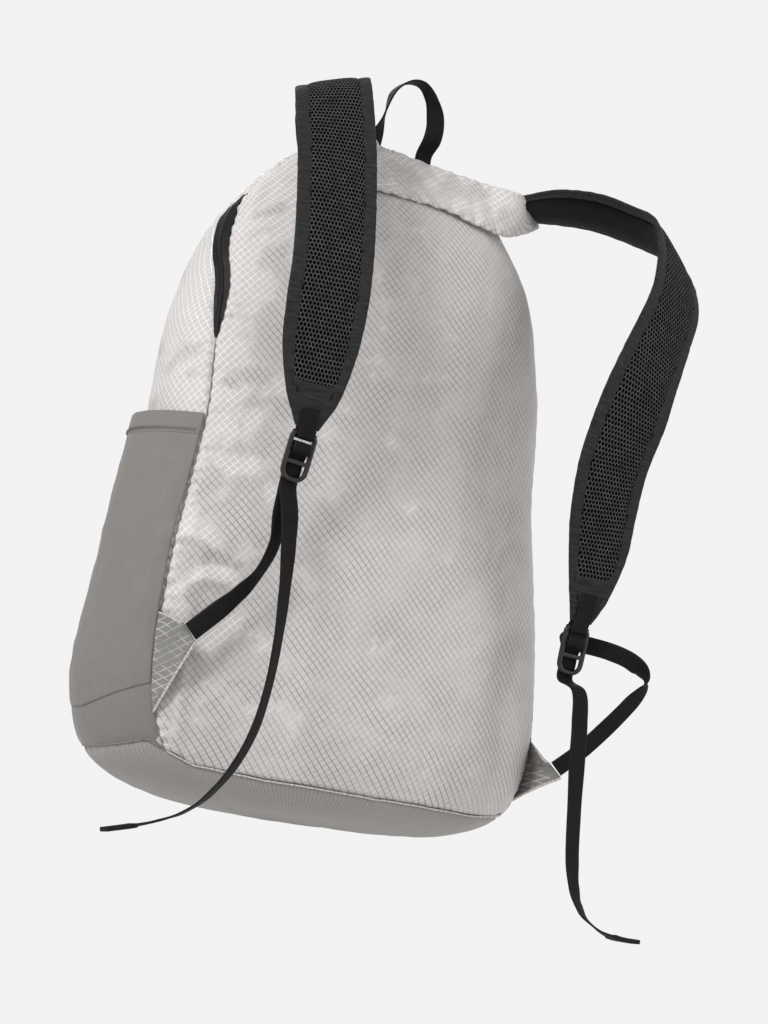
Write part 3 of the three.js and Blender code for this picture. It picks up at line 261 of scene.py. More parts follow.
def cubic(p1, p2, m1, m2, t):
    """A smooth curve from p1 to p2 with the slopes m1 and m2."""
    a = 2 * p1 - 2 * p2 + m1 + m2
    b = -3 * p1 + 3 * p2 - 2 * m1 - m2
    return ((a * t + b) * t + m1) * t + p1


def smooth_rows(rows, share):
    """A smooth curve through a table's rows, read at shares from 0 to 1."""
    rows = table(rows)
    low, t = span_at(share, len(rows) - 1)
    p0, p1, p2, p3 = (rows[np.clip(low + k, 0, len(rows) - 1)] for k in (-1, 0, 1, 2))
    return cubic(p1, p2, (p2 - p0) / 2, (p3 - p1) / 2, t)


def centripetal(points, share):
    """A smooth curve through points that keeps close to its corners, as the solids' curve does."""
    points = np.asarray(points, float)
    padded = np.vstack([2 * points[0] - points[1], points, 2 * points[-1] - points[-2]])
    low, t = span_at(share, len(points) - 1)
    p0, p1, p2, p3 = (padded[low + k] for k in range(4))
    pairs = ((p0, p1), (p1, p2), (p2, p3))
    d0, d1, d2 = (np.sqrt(np.linalg.norm(b - a, axis=1))[:, None] for a, b in pairs)
    m1 = ((p1 - p0) / d0 - (p2 - p0) / (d0 + d1) + (p2 - p1) / d1) * d1
    m2 = ((p2 - p1) / d1 - (p3 - p1) / (d1 + d2) + (p3 - p2) / d2) * d1
    return cubic(p1, p2, m1, m2, t)


def bell(distance, breadth):
    """1 at no distance, fading to nothing over about twice the breadth."""
    return np.exp(-((distance / breadth) ** 2))


def read(rows, value, column):
    rows = table(rows)
    return np.interp(value, rows[:, 0], rows[:, column])


def place(out, fore, down):
    """Shares of the body's half width, depth and height as a point in millimetres."""
    return np.stack([out * WIDTH / 2, fore * DEPTH, TOP - down * HEIGHT], -1)


# The filled body. A share runs up the table of sections, and a turn runs round a section.
SHARES = np.linspace(0, 1, 4001)
RISES = np.maximum.accumulate(smooth_rows(BODY_SECTIONS, SHARES)[:, 0])
DENSE = np.linspace(0, 1, 1501)
PROFILE = smooth_rows(BODY_SECTIONS, DENSE)
BREADTH = (PROFILE[:, 1] + PROFILE[:, 2]) * (WIDTH + DEPTH) / 8
MERIDIAN = lengths(np.stack([PROFILE[:, 0] * HEIGHT, BREADTH], -1))


def share_at(rise):
    return np.interp(rise, RISES, SHARES)


def rise_at(share):
    return smooth_rows(BODY_SECTIONS, share)[..., 0]


def climb(share):
    """Millimetres of cloth from the bottom up to a share."""
    return np.interp(share, DENSE, MERIDIAN)


def shares_between(low, high, rows):
    """Rows of shares, evenly spaced along the cloth between two lengths from the bottom."""
    return np.interp(low + (high - low) * np.linspace(0, 1, rows)[:, None], MERIDIAN, DENSE)


def dent(rise, turn):
    """How far the elastic mouth of a pocket pulls the body's side in."""
    below = (1 - POCKET_MOUTH / HEIGHT - rise) / (POCKET_HEIGHT / HEIGHT)
    return POCKET_DENT * np.abs(np.cos(turn)) ** 6 * bell(below - 0.12, 0.3)


def body(share, turn, offset=0.0):
    """A point of the filled body in millimetres, offset along its section."""
    rise, half_w, half_d, fore = np.moveaxis(smooth_rows(BODY_SECTIONS, share), -1, 0)
    x, y = np.cos(turn), np.sin(turn)
    reach = (np.abs(x) ** POWER + np.abs(y) ** POWER) ** (-1 / POWER)
    swell = offset - dent(rise, turn)
    return np.stack(
        [
            BODY_SIDE * (1 - rise) + x * (reach * half_w * WIDTH / 2 + swell),
            fore * BODY_AXIS + y * (reach * half_d * DEPTH / 2 + swell),
            TOP - (1 - rise) * HEIGHT + 0 * x,
        ],
        -1,
    )


def body_normal(share, turn):
    step = 0.003
    up = body(np.minimum(share + step, 1), turn) - body(np.maximum(share - step, 0), turn)
    around = body(share, turn + step) - body(share, turn - step)
    return unit(np.cross(around, up))


def turn_at_seam(share, side, past=0.0):
    """The turn round the body at which one side lies a distance in front of the seam."""
    share = np.asarray(share, float)
    rise = rise_at(share)
    seam = SEAM_FORE + read(SEAM_LINE, rise, 1) * BODY_AXIS + past
    low = np.full(share.shape, -math.pi / 2)
    high = np.full(share.shape, math.pi / 2 if side == RIGHT else -1.5 * math.pi)
    for _ in range(26):
        middle = (low + high) / 2
        p = body(share, middle)
        behind = p[..., 1] < seam + SEAM_SKEW * p[..., 0]
        low = np.where(behind, middle, low)
        high = np.where(behind, high, middle)
    return (low + high) / 2


def base_rise(p):
    return read(BASE_SEAM, 2 * p[..., 0] / WIDTH, 1)


def share_at_base(turn):
    """The share at which the base seam crosses each turn."""
    share = share_at(BASE_RISE + 0 * turn)
    for _ in range(6):
        share = share_at(base_rise(body(share, turn)))
    return share


# Folds of the filled cloth: points along each fold, how broad it is and how far it stands out.
FOLDS = [
    ([(-94, 16, -91), (-99, 10, -104), (-104, 6, -116)], 5, 2.4),
    ([(-80, -1, -100), (-96, 2, -112), (-108, 7, -123)], 5, 2.6),
    ([(-91, -4, -121), (-102, 0, -127), (-110, 5, -133)], 4, 1.9),
    ([(-132, -2, -339), (-121, -9, -335), (-108, -15, -341), (-95, -20, -350)], 6, 3.0),
    ([(-118, -11, -372), (-110, -15, -362), (-95, -20, -364)], 5, 2.6),
    ([(-114, -13, -351), (-104, -17, -354), (-95, -20, -357)], 6, -3.4),
    ([(-129, -5, -354), (-119, -11, -379), (-118, -12, -393)], 7, 2.2),
    ([(-115, -12, -412), (-113, -11, -442), (-108, -7, -470)], 4, 2.4),
    ([(-124, -5, -294), (-102, -16, -297), (-74, -23, -286)], 9, 1.3),
    ([(-124, -3, -274), (-108, -12, -269), (-84, -20, -273)], 6, 1),
    ([(-121, -3, -247), (-108, -10, -248), (-92, -16, -241)], 6, 1.1),
    ([(-34, -29, -312), (19, -30, -320), (78, -25, -338)], 16, 1.6),
    ([(-47, -28, -367), (-1, -30, -385), (52, -29, -383)], 14, -1.4),
    ([(-3, -18, -121), (38, -20, -146), (85, -16, -184)], 16, 1.4),
    ([(-23, -30, -389), (-37, -27, -430), (-30, -21, -475)], 10, 1.2),
    ([(50, -27, -416), (72, -23, -452), (79, -13, -482)], 9, 1.3),
    ([(109, -18, -365), (119, -14, -418), (132, 0, -470)], 8, -1.3),
    ([(-125, 4, -203), (-131, 11, -210), (-137, 20, -215)], 6, 1.3),
    ([(-126, 3, -224), (-135, 13, -229), (-141, 28, -237)], 6, 1.4),
    ([(-145, 16, -296), (-138, 2, -342), (-142, 3, -395)], 9, 1.2),
    ([(-135, 3, -302), (-132, -2, -328), (-136, 0, -355)], 5, 1.2),
    ([(-92, -20, -400), (-71, -24, -429), (-55, -20, -472)], 9, 1.3),
    ([(30, -22, -472), (30, -16, -485), (37, -8, -494)], 5, 1),
    ([(50, -21, -164), (61, -24, -225), (47, -28, -296)], 18, 1.2),
]


def fold_lift(points):
    """How far the folds stand out at each point."""
    lift = np.zeros(points.shape[:-1])
    for rows, breadth, height in FOLDS:
        rows = table(rows)
        best = np.full(lift.shape, 1e9)
        along = np.zeros(lift.shape)
        for i, (a, b) in enumerate(zip(rows, rows[1:])):
            t = np.clip(((points - a) @ (b - a)) / ((b - a) @ (b - a)), 0, 1)
            distance = np.linalg.norm(points - a - t[..., None] * (b - a), axis=-1)
            near = distance < best
            best = np.where(near, distance, best)
            along = np.where(near, (i + t) / (len(rows) - 1), along)
        taper = np.sin(math.pi * np.clip(0.06 + 0.88 * along, 0, 1)) ** 0.6
        lift += height * taper * bell(best, breadth)
    return lift


def ripple(points, size, seed=0.0):
    """Smooth noise from -1 to 1 at points in millimetres, with waves of about size."""
    flat = points.reshape(-1, 3) / size + seed
    out = np.fromiter((noise.noise(p) for p in flat.tolist()), float, len(flat))
    return out.reshape(points.shape[:-1])


def drift(along, size, row, layer):
    """Smooth noise from -1 to 1 along a line in millimetres."""
    return np.array([noise.noise((x / size, row, layer)) for x in along])


def crumple(points, amount=1.0):
    """How far thin cloth stands in or out of its smooth surface."""
    wide = ripple(points * np.array([1, 1, 0.6]), 46.0, 3.7)
    fine = 1 - 2.2 * np.abs(ripple(points, 17.0, 9.1))
    small = ripple(points * np.array([0.6, 1, 1]), 8.0, 5.3)
    return amount * (0.85 * wide + 0.42 * fine + 0.16 * small)


def skin(share, turn, lift=0.0, amount=1.0):
    """A point of the cloth, with its folds and creases, lifted off the body."""
    base = body(share, turn)
    out = lift + fold_lift(base) + crumple(base, amount)
    return base + body_normal(share, turn) * out[..., None]


# Meshes, from points in millimetres.
def link(obj):
    bpy.context.scene.collection.objects.link(obj)


def add_mesh(name, verts, faces, material, uv=None, nodes=(), sharp=None):
    mesh = bpy.data.meshes.new(name)
    mesh.from_pydata((np.asarray(verts).reshape(-1, 3) * MM).tolist(), [], faces)
    mesh.validate()
    if uv is not None:
        layer = mesh.uv_layers.new(name="UVMap")
        index = np.empty(len(mesh.loops), int)
        mesh.loops.foreach_get("vertex_index", index)
        layer.data.foreach_set("uv", (np.asarray(uv).reshape(-1, 2)[index] * MM).ravel())
    mesh.materials.append(material)
    mesh.shade_smooth()
    if sharp:
        mesh.set_sharp_from_angle(angle=math.radians(sharp))
    obj = bpy.data.objects.new(name, mesh)
    link(obj)
    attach(obj, "root")
    if nodes:
        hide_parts(*nodes)
    return obj


def solidify(obj, thickness, offset=-1.0):
    mod = obj.modifiers.new("cloth", "SOLIDIFY")
    mod.thickness = thickness * MM
    mod.offset = offset
    mod.use_rim = True


def grid_faces(rows, columns, wrap=False, flip=False):
    faces = []
    for r in range(rows - 1):
        for c in range(columns if wrap else columns - 1):
            d = (c + 1) % columns
            quad = (r * columns + c, r * columns + d, (r + 1) * columns + d, (r + 1) * columns + c)
            faces.append(quad[::-1] if flip else quad)
    return faces


def add_sheet(name, points, material, uv, nodes=(), flip=False):
    return add_mesh(name, points, grid_faces(*points.shape[:2], flip=flip), material, uv, nodes)


def tube_faces(rings, sides):
    """The faces of a closed tube with flat ends."""
    caps = [tuple(range(sides))[::-1], tuple((rings - 1) * sides + i for i in range(sides))]
    return grid_faces(rings, sides, wrap=True) + caps


def add_faces(verts, faces, more_verts, more_faces):
    base = len(verts)
    verts += list(more_verts)
    faces += [tuple(base + i for i in face) for face in more_faces]


def off_line(middle, across, face, reach, off):
    """Points beside a line: reach along the ways across it, and off along the ways off its face."""
    return middle[:, None] + across[:, None] * reach[..., None] + face[:, None] * off[..., None]


def line_uv(across, along):
    """Lengths across a strip and along it, for rings or rows that follow a line."""
    return np.stack(np.broadcast_arrays(across, along[:, None]), -1)


def band_section(width, thickness):
    """The outline of flat webbing with soft edges, as (across, off) pairs."""
    w, h = width / 2, thickness / 2
    c = 0.45 * thickness
    top = [(x, h) for x in np.linspace(-w + c, w - c, 7)]
    low = [(x, -h) for x in np.linspace(w - c, -w + c, 7)]
    side = [(w - 0.3 * c, 0.55 * h), (w, 0.0), (w - 0.3 * c, -0.55 * h)]
    return table(top + side + low + [(-x, -y) for x, y in side])


def ribbon(name, route, width, thickness, node, step=1.6, folded=0.0):
    """Webbing along a route of knots, with its width running the way each knot says."""
    knots, ways = table(route[0]), unit(table(route[1]))
    spans = len(knots) - 1
    rough = lengths(centripetal(knots, np.linspace(0, 1, 40 * spans)))[-1]
    dense = np.linspace(0, 1, 60 * spans)
    reached = lengths(centripetal(knots, dense))
    along = np.linspace(0, reached[-1], max(int(rough / step), 8))
    share = np.interp(along, reached, dense)
    points = centripetal(knots, share)
    run = unit(np.gradient(points, axis=0))
    low, t = span_at(share, spans)
    t = t * t * (3 - 2 * t)
    across = ways[low] * (1 - t) + ways[low + 1] * t
    across = unit(across - (across * run).sum(1, keepdims=True) * run)
    face = np.cross(run, across)
    thick = np.where(along > along[-1] - folded, 2.2, 1.0)
    outline = band_section(width, thickness)
    rings = off_line(points, across, face, outline[:, 0] + 0 * thick[:, None], outline[:, 1] * thick[:, None])
    add_mesh(name, rings, tube_faces(*rings.shape[:2]), WEBBING, line_uv(outline[:, 0], along),
             (node,), sharp=60)


def wire(name, points, radius, material, sides=8):
    """A thin round cord or piping along points."""
    run = unit(np.gradient(points, axis=0))
    side = unit(np.cross(run, np.array([0.31, 0.17, 0.93])))
    up = np.cross(run, side)
    angle = np.arange(sides) * 2 * math.pi / sides
    flat = 0 * points[:, :1]
    rings = off_line(points, side, up, radius * np.cos(angle) + flat, radius * np.sin(angle) + flat)
    uv = line_uv(angle, lengths(points))
    add_mesh(name, rings, tube_faces(len(points), sides), material, uv)


# Materials.
class Term:
    """A value inside a material, so that sums and products of values read as such."""

    def __init__(self, graph, socket):
        self.graph, self.socket = graph, socket

    def __add__(self, other):
        return self.graph.math("ADD", self, other)

    def __sub__(self, other):
        return self.graph.math("SUBTRACT", self, other)

    def __mul__(self, other):
        return self.graph.math("MULTIPLY", self, other)

    def __truediv__(self, other):
        return self.graph.math("DIVIDE", self, other)


class Graph:
    """A procedural material, with short calls for its nodes. Lengths are in millimetres."""

    def __init__(self, name, roughness, specular, sheen=0.0):
        self.material = bpy.data.materials.new(name)
        self.material.use_nodes = True
        self.tree = self.material.node_tree
        self.tree.nodes.clear()
        self.shader = self.node("BsdfPrincipled")
        output = self.node("OutputMaterial")
        self.tree.links.new(self.shader.outputs["BSDF"], output.inputs["Surface"])
        finish = {"Roughness": roughness, "Specular IOR Level": specular, "Sheen Weight": sheen}
        for socket, value in {**finish, "Sheen Roughness": 0.4}.items():
            self.shader.inputs[socket].default_value = value
        coords = self.node("TexCoord")
        self.place = self.vector("MULTIPLY", coords.outputs["Object"], (1 / MM,) * 3)[0]
        self.uv = self.vector("MULTIPLY", coords.outputs["UV"], (1 / MM,) * 3)[0]
        split = self.node("SeparateXYZ", self.uv)
        self.u, self.v = Term(self, split.outputs[0]), Term(self, split.outputs[1])

    def node(self, kind, *values):
        node = self.tree.nodes.new("ShaderNode" + kind)
        for socket, value in zip(node.inputs, values):
            self.feed(socket, value)
        return node

    def feed(self, socket, value):
        if isinstance(value, Term):
            value = value.socket
        if isinstance(value, bpy.types.NodeSocket):
            self.tree.links.new(value, socket)
        elif socket.type == "RGBA":
            socket.default_value = (*value, 1)
        else:
            socket.default_value = value

    def vector(self, operation, *values):
        node = self.node("VectorMath", *values)
        node.operation = operation
        return node.outputs

    def math(self, operation, *values):
        node = self.node("Math", *values)
        node.operation = operation
        return Term(self, node.outputs[0])

    def noise(self, size, detail, stretch=(1, 1, 1), vector=None, rough=0.5):
        scale = tuple(1 / (size * s) for s in stretch)
        node = self.node("TexNoise", self.vector("MULTIPLY", vector or self.place, scale)[0])
        for socket, value in (("Scale", 1), ("Detail", detail), ("Roughness", rough)):
            node.inputs[socket].default_value = value
        return Term(self, node.outputs["Fac"])

    def facing(self, direction):
        """How far the surface faces a direction, from -1 to 1."""
        normal = self.node("NewGeometry").outputs["Normal"]
        return Term(self, self.vector("DOT_PRODUCT", normal, direction)["Value"])

    def remap(self, value, low, high, to_low=0.0, to_high=1.0):
        node = self.node("MapRange", value, low, high, to_low, to_high)
        node.interpolation_type = "SMOOTHSTEP"
        return Term(self, node.outputs[0])

    def mix(self, factor, a, b):
        node = self.node("Mix")
        node.data_type = "RGBA"
        self.feed(node.inputs["Factor"], factor)
        self.feed(node.inputs[6], a)
        self.feed(node.inputs[7], b)
        return node.outputs[2]

    def wave(self, value, period, phase=0.0):
        """From -1 to 1 along a value in millimetres."""
        return self.math("SINE", value * (2 * math.pi / period) + phase)

    def ribs(self, value, period, phase=0.0):
        """From 0 to 1 along a value in millimetres."""
        return self.wave(value, period, phase) * 0.5 + 0.5

    def weave(self, period_u, period_v):
        """Crossing threads, from 0 to 1."""
        return self.wave(self.u, period_u) * self.wave(self.v, period_v) * 0.5 + 0.5

    def lines(self, value, pitch, width):
        """1 on thin lines a pitch apart and 0 between them."""
        ramp = self.math("PINGPONG", value / pitch, 0.5)
        return self.remap(ramp, 0.35 * width / pitch, 0.8 * width / pitch, 1, 0)

    def bump(self, height, distance, strength, normal=None):
        """height is from 0 to 1 and distance is what it stands for, in millimetres."""
        node = self.node("Bump")
        node.inputs["Strength"].default_value = strength
        node.inputs["Distance"].default_value = distance * MM
        self.feed(node.inputs["Height"], height)
        if normal is not None:
            self.feed(node.inputs["Normal"], normal)
        return node.outputs[0]

    def finish(self, color, normal, roughness=None):
        self.feed(self.shader.inputs["Base Color"], color)
        self.feed(self.shader.inputs["Normal"], normal)
        if roughness is not None:
            self.feed(self.shader.inputs["Roughness"], roughness)
        return self.material


def tone(color, share):
    return tuple(share * c for c in color)


def ripstop(name, base, dark, light):
    """Thin crisp cloth with a diamond grid of raised threads, and a painted glint on the threads where the
    cloth faces up and left.
    """
    g = Graph(name, roughness=0.5, specular=0.35, sheen=0.15)
    pitch, thread, diagonal = 3.9, 0.5, 0.7071
    bend = g.noise(55, 1) * 5.0 - 2.5
    falling = g.lines((g.u + g.v) * diagonal + bend, pitch, thread)
    rising = g.lines((g.u - g.v) * diagonal + bend, pitch, thread)
    grid = g.math("MAXIMUM", falling, rising)
    # Painted highlight: where the cloth faces up and left, in patches, the grid's threads are painted light
    # as a glint.
    lit = g.noise(24, 2) * 1.3 + g.facing((-0.75, -0.35, 0.56)) * 1.1
    glint = g.remap(lit, 1.12, 1.45)
    painted_glint = g.math("MAXIMUM", rising, falling * g.remap(lit, 1.15, 1.45)) * glint
    fade = g.remap(g.noise(30, 2, vector=g.uv), 0.35, 0.62, 0.5, 1.0)
    dull = g.math("MAXIMUM", falling * 0.78, rising * 0.34) * fade
    color = g.mix(g.noise(9, 3, rough=0.6), tone(base, 0.93), tone(base, 1.05))
    color = g.mix(g.remap(g.noise(70, 2), 0.35, 0.7) * 0.3, color, tone(base, 0.8))
    color = g.mix(dull, color, dark)
    # The light colour is the painted glint on the threads.
    color = g.mix(painted_glint * 0.78, color, light)
    normal = g.bump(g.weave(0.5, 0.5), 0.03, 0.6)
    normal = g.bump(g.noise(7, 4, rough=0.62), 1.2, 0.7, normal)
    normal = g.bump(g.noise(16, 3, (1.5, 1, 0.7), rough=0.55), 2.2, 0.4, normal)
    normal = g.bump(grid, 0.22, 0.8, normal)
    return g.finish(color, normal, g.remap(grid, 0, 1, 0.55, 0.4))


def ribbed(name, base, pitch, soft, roughness):
    """Taupe cloth with fine upright ribs."""
    g = Graph(name, roughness, specular=0.25, sheen=0.2)
    slow = g.noise(60, 2)
    rib = g.ribs(g.u + slow * 3, pitch)
    grain = g.noise(3.2, 3, (1, 1, 6)) * 0.5 + rib * (0.22 * soft)
    color = g.mix(grain, tone(base, 0.86), tone(base, 1.1))
    color = g.mix(g.remap(slow, 0.4, 0.7) * 0.25, color, tone(base, 0.85))
    color = g.mix(g.lines(g.u, 1.6 * pitch, 0.6) * (0.5 * soft), color, tone(base, 0.55))
    normal = g.bump(rib, 0.10 * soft, 0.8)
    normal = g.bump(g.ribs(g.u, 0.6), 0.04, 0.7, normal)
    normal = g.bump(g.noise(14, 3), 0.9, 0.4, normal)
    return g.finish(color, normal)


def spacer_mesh():
    """Black knitted mesh with staggered oval holes, the holes painted near black as painted shade and the
    raised knit painted lighter grey as painted highlight.
    """
    g = Graph("spacer_mesh", roughness=0.78, specular=0.05)
    pitch_u, pitch_v, hole_u, hole_v = 2.6, 2.9, 0.33, 0.38
    row = (g.v + (g.noise(16, 2) * 1.6 - 0.8)) / pitch_v
    shift = g.math("FLOORED_MODULO", g.math("FLOOR", row), 2.0) * 0.5
    cell_u = g.math("FRACT", g.u / pitch_u + shift) - 0.5
    cell_v = g.math("FRACT", row) - 0.5
    far = g.math("POWER", cell_u / hole_u, 2.0) + g.math("POWER", cell_v / hole_v, 2.0)
    thread = g.remap(g.math("SQRT", far), 1.0, 1.4)
    knit = g.weave(0.43, 0.48)
    # The yarn's own black, with the tops of the knit painted lighter grey as painted highlight.
    yarn_and_highlight = g.mix(knit * g.noise(5, 2), (0.02, 0.02, 0.021), (0.24, 0.242, 0.247))
    normal = g.bump(thread, 0.9, 1.0)
    normal = g.bump(knit, 0.08, 0.6, normal)
    # The holes are painted near black, painted shade in the recesses.
    return g.finish(g.mix(thread, (0.0008, 0.0008, 0.001), yarn_and_highlight), normal)


def plain_cloth(name, base, weave=0.5, crease=0.6, roughness=0.7, specular=0.14):
    """Plain-weave cloth with small creases across it, painted darker in the creases and lighter on their
    ridges as painted shade and highlight.
    """
    g = Graph(name, roughness, specular, sheen=0.02)
    thread = g.weave(weave, weave)
    across = g.noise(4.5, 3, (2.6, 0.45, 1), g.uv, 0.6)
    # Painted shade and highlight: the colour follows the crease height, darker in the creases and lighter on
    # their ridges, besides the weave's own tone.
    color = g.mix(g.remap(thread * 0.35 + across * 0.65, 0.25, 0.75), tone(base, 0.4), tone(base, 1.9))
    normal = g.bump(across, crease, 0.7)
    normal = g.bump(thread, 0.06, 0.8, normal)
    return g.finish(color, normal)


def webbing():
    """Black grosgrain: fine ribs across the width and a plain selvedge at both edges."""
    g = Graph("webbing", roughness=0.62, specular=0.12)
    rib = g.ribs(g.v, 0.95) * (g.ribs(g.u, 0.8, 1.2) * 0.5 + 0.5)
    edge = g.remap(g.math("ABSOLUTE", g.u), WEBBING_WIDTH / 2 - 1.6, WEBBING_WIDTH / 2 - 0.9)
    weave = g.math("MAXIMUM", rib, edge * 0.7)
    color = g.mix(weave * g.noise(6, 3), (0.004, 0.004, 0.004), (0.022, 0.022, 0.023))
    return g.finish(color, g.bump(weave, 0.22, 0.9))


def plastic():
    g = Graph("buckle_plastic", roughness=0.36, specular=0.35)
    color = g.mix(g.noise(9, 2), (0.012, 0.012, 0.013), (0.022, 0.022, 0.024))
    gloss = g.remap(g.noise(5, 3), 0.3, 0.7, 0.3, 0.46)
    return g.finish(color, g.bump(g.noise(0.7, 3), 0.03, 0.5), gloss)


def zipper_tape():
    """Black coated tape with the coil as a ridge down its middle."""
    g = Graph("zipper_tape", roughness=0.5, specular=0.12)
    middle = g.remap(g.math("ABSOLUTE", g.u), 0.5, 1.6, 1, 0)
    teeth = middle * g.ribs(g.v, 1.4)
    color = g.mix(teeth * 0.6 + g.noise(3, 3) * 0.3, (0.006, 0.006, 0.007), (0.035, 0.035, 0.037))
    return g.finish(color, g.bump(middle + teeth * 0.5, 0.6, 0.8))


# The last colour of each ripstop is its painted glint.
RIPSTOP = ripstop("ripstop", (0.56, 0.53, 0.517), (0.13, 0.125, 0.122), (0.93, 0.92, 0.9))
# A darker copy of the ripstop for the corner tabs, as painted shade.
RIPSTOP_PAINTED_SHADE = ripstop("ripstop_painted_shade", (0.21, 0.202, 0.193), (0.08, 0.077, 0.074), (0.5, 0.49, 0.475))
BASE_CLOTH = ribbed("base_cloth", (0.315, 0.298, 0.28), 1.9, 1.0, 0.8)
STRETCH = ribbed("stretch_cloth", (0.215, 0.200, 0.187), 1.1, 0.3, 0.7)
MESH = spacer_mesh()
BINDING = plain_cloth("binding", (0.019, 0.0191, 0.0194), crease=0.9)
LINING = plain_cloth("strap_lining", (0.004, 0.004, 0.0042), 0.7, 0.5, 0.65, 0.05)
WEBBING = webbing()
PLASTIC = plastic()
ZIPPER = zipper_tape()
PIPING = plain_cloth("piping", (0.42, 0.40, 0.385), 0.6, 0.15)
THREAD = plain_cloth("seam_thread", (0.20, 0.19, 0.18), 0.5, 0.1)


# The two ripstop panels.
def panel_grid(turns, bottom, top, columns, rows):
    """Shares and turns of a panel: turns(share) gives its two side edges, bottom(p) its low edge."""
    across = np.linspace(0, 1, columns)
    start = np.full(columns, 0.25)
    for _ in range(6):
        a, b = turns(start)
        start = share_at(bottom(body(start, a + (b - a) * across)))
    share = shares_between(climb(start), climb(top), rows)
    a, b = turns(share)
    return share, a + (b - a) * across


def arc_uv(points, share, centre):
    """Lengths across a panel from its centre column, and up the body."""
    u = lengths(points)
    u -= u[:, centre : centre + 1]
    return np.stack([u, climb(share) + 0 * u], -1)


def seam_tuck(uv, seed):
    """How far the cloth dips towards its seams, with small puckers beside them."""
    u, v = uv[..., 0], uv[..., 1]
    gap = np.min([u - u[:, :1], u[:, -1:] - u, v - v[:1]], axis=0)
    pucker = np.sin(v * 2 * math.pi / 8.5 + 2.2 * np.sin(v / 23.0 + seed))
    return 0.6 * pucker * bell(gap, 8.0) - SEAM_DIP * bell(gap, 2.0)


def half_tape(share):
    """Half the width of the bare zipper tape, which is covered again at the top."""
    rise = rise_at(share)
    return read(SEAM_LINE, rise, 2) * ZIPPER_WIDTH * np.clip((0.9 - rise) / 0.045, 0, 1)


def back_turns(share):
    past = -half_tape(share)
    return turn_at_seam(share, LEFT, past), turn_at_seam(share, RIGHT, past)


def front_turns(share):
    past = half_tape(share)
    return turn_at_seam(share, RIGHT, past), turn_at_seam(share, LEFT, past) + 2 * math.pi


def body_panel(name, turns, columns, rows, node, seed):
    share, turn = panel_grid(turns, base_rise, 1.0, columns, rows)
    uv = arc_uv(body(share, turn), share, columns // 2)
    points = skin(share, turn, seam_tuck(uv, seed))
    add_sheet(name, points, RIPSTOP, uv, (node,))


def base_cloth(columns, rows):
    turn = np.linspace(0, 2 * math.pi, columns)
    high = climb(share_at_base(turn))
    share = shares_between(0, high, rows)
    turn = np.broadcast_to(turn, share.shape)
    u = arc_uv(body(share, turn), share, columns // 2)[..., 0]
    gap = high - climb(share)
    pucker = 0.3 * np.sin(u / 1.6) * bell(gap, 9.0)
    points = skin(share, turn, pucker - SEAM_DIP * bell(gap, 2.0), CALM)
    faces = grid_faces(rows, columns) + [tuple(range(columns - 1))[::-1]]
    uv = np.stack([np.broadcast_to(u[-1:], share.shape), gap], -1)
    add_mesh("base_cloth", points, faces, BASE_CLOTH, uv, ("base_panel",))


def top_cloth(columns, rings):
    """The cloth that closes the top, where the two panels meet."""
    rim = skin(np.full(columns, 1.0), np.linspace(0, 2 * math.pi, columns, endpoint=False))
    inward = np.linspace(0, 0.96, rings)[:, None, None]
    points = rim * (1 - inward) + rim.mean(0) * inward
    points[..., 2] += 1.2 * np.sin(inward[..., 0] * math.pi / 2)
    faces = grid_faces(rings, columns, wrap=True)
    faces.append(tuple((rings - 1) * columns + i for i in range(columns)))
    add_mesh("top_cloth", points, faces, RIPSTOP, points[..., :2])


def zipper_band(side, word, columns, rows):
    """Coated tape in the lens that opens between the panels at one side."""

    def turns(share):
        half = half_tape(share) + 0.3
        return turn_at_seam(share, side, -half), turn_at_seam(share, side, half)

    def bottom(p):
        return np.full(p.shape[:-1], LENS_LOW)

    share, turn = panel_grid(turns, bottom, float(share_at(LENS_TOP)), columns, rows)
    uv = arc_uv(body(share, turn), share, columns // 2)
    points = skin(share, turn, 0.5 * bell(uv[..., 0], 1.3) - 0.35)
    nodes = ("main_zipper",) if side == LEFT else ()
    add_sheet("zipper_" + word, points, ZIPPER, uv, nodes, side == LEFT)


body_panel("back_cloth", back_turns, 190, 240, "back_panel", 0.4)
body_panel("front_cloth", front_turns, 180, 200, "front_shell", 1.9)
base_cloth(240, 44)
top_cloth(160, 10)
for side, word in SIDES:
    zipper_band(side, word, 15, 150)


# Side pockets.
def pocket_grid(side, start_below, stop_below, columns, rows, lift, curve=0.0):
    """Points of a pocket's cloth between two distances below its mouth, loose in the middle."""
    across = np.linspace(0, 1, columns)[None]
    t = np.linspace(0, 1, rows)[:, None]
    sag = curve * np.sin(math.pi * across)
    below = start_below + (stop_below + sag - start_below) * t + 0 * across
    share = share_at(1 - (POCKET_MOUTH + below) / HEIGHT)
    start = turn_at_seam(share, side, SEAM_SIDE)
    turn = start + (-math.pi / 2 + side * POCKET_TURN - start) * across
    loose = POCKET_BULGE * (1 - 0.75 * below / POCKET_HEIGHT)
    arch = np.sin(math.pi * across)
    hold = np.clip((POCKET_CLOTH + sag - below) / 14.0, 0, 1)
    off = 0.4 + (loose + dent(rise_at(share), turn) + 0.3) * arch * hold ** 0.5 + lift
    base = body(share, turn)
    sideways = np.stack([np.cos(turn), np.sin(turn), 0 * turn], -1)
    beside_seam = bell(across - 0.08, 0.1) * (below > 40) * hold
    wave = 0.9 * np.sin(below / 9.0 + 5 * across) * beside_seam
    wave += 0.5 * np.sin(across * 40 + below / 40.0) * np.exp(-below / 60.0) * arch
    out = fold_lift(base) + crumple(base) + 0.5 * wave + 0.3
    points = base + sideways * off[..., None] + body_normal(share, turn) * out[..., None]
    return points, np.stack([lengths(points), -below], -1)


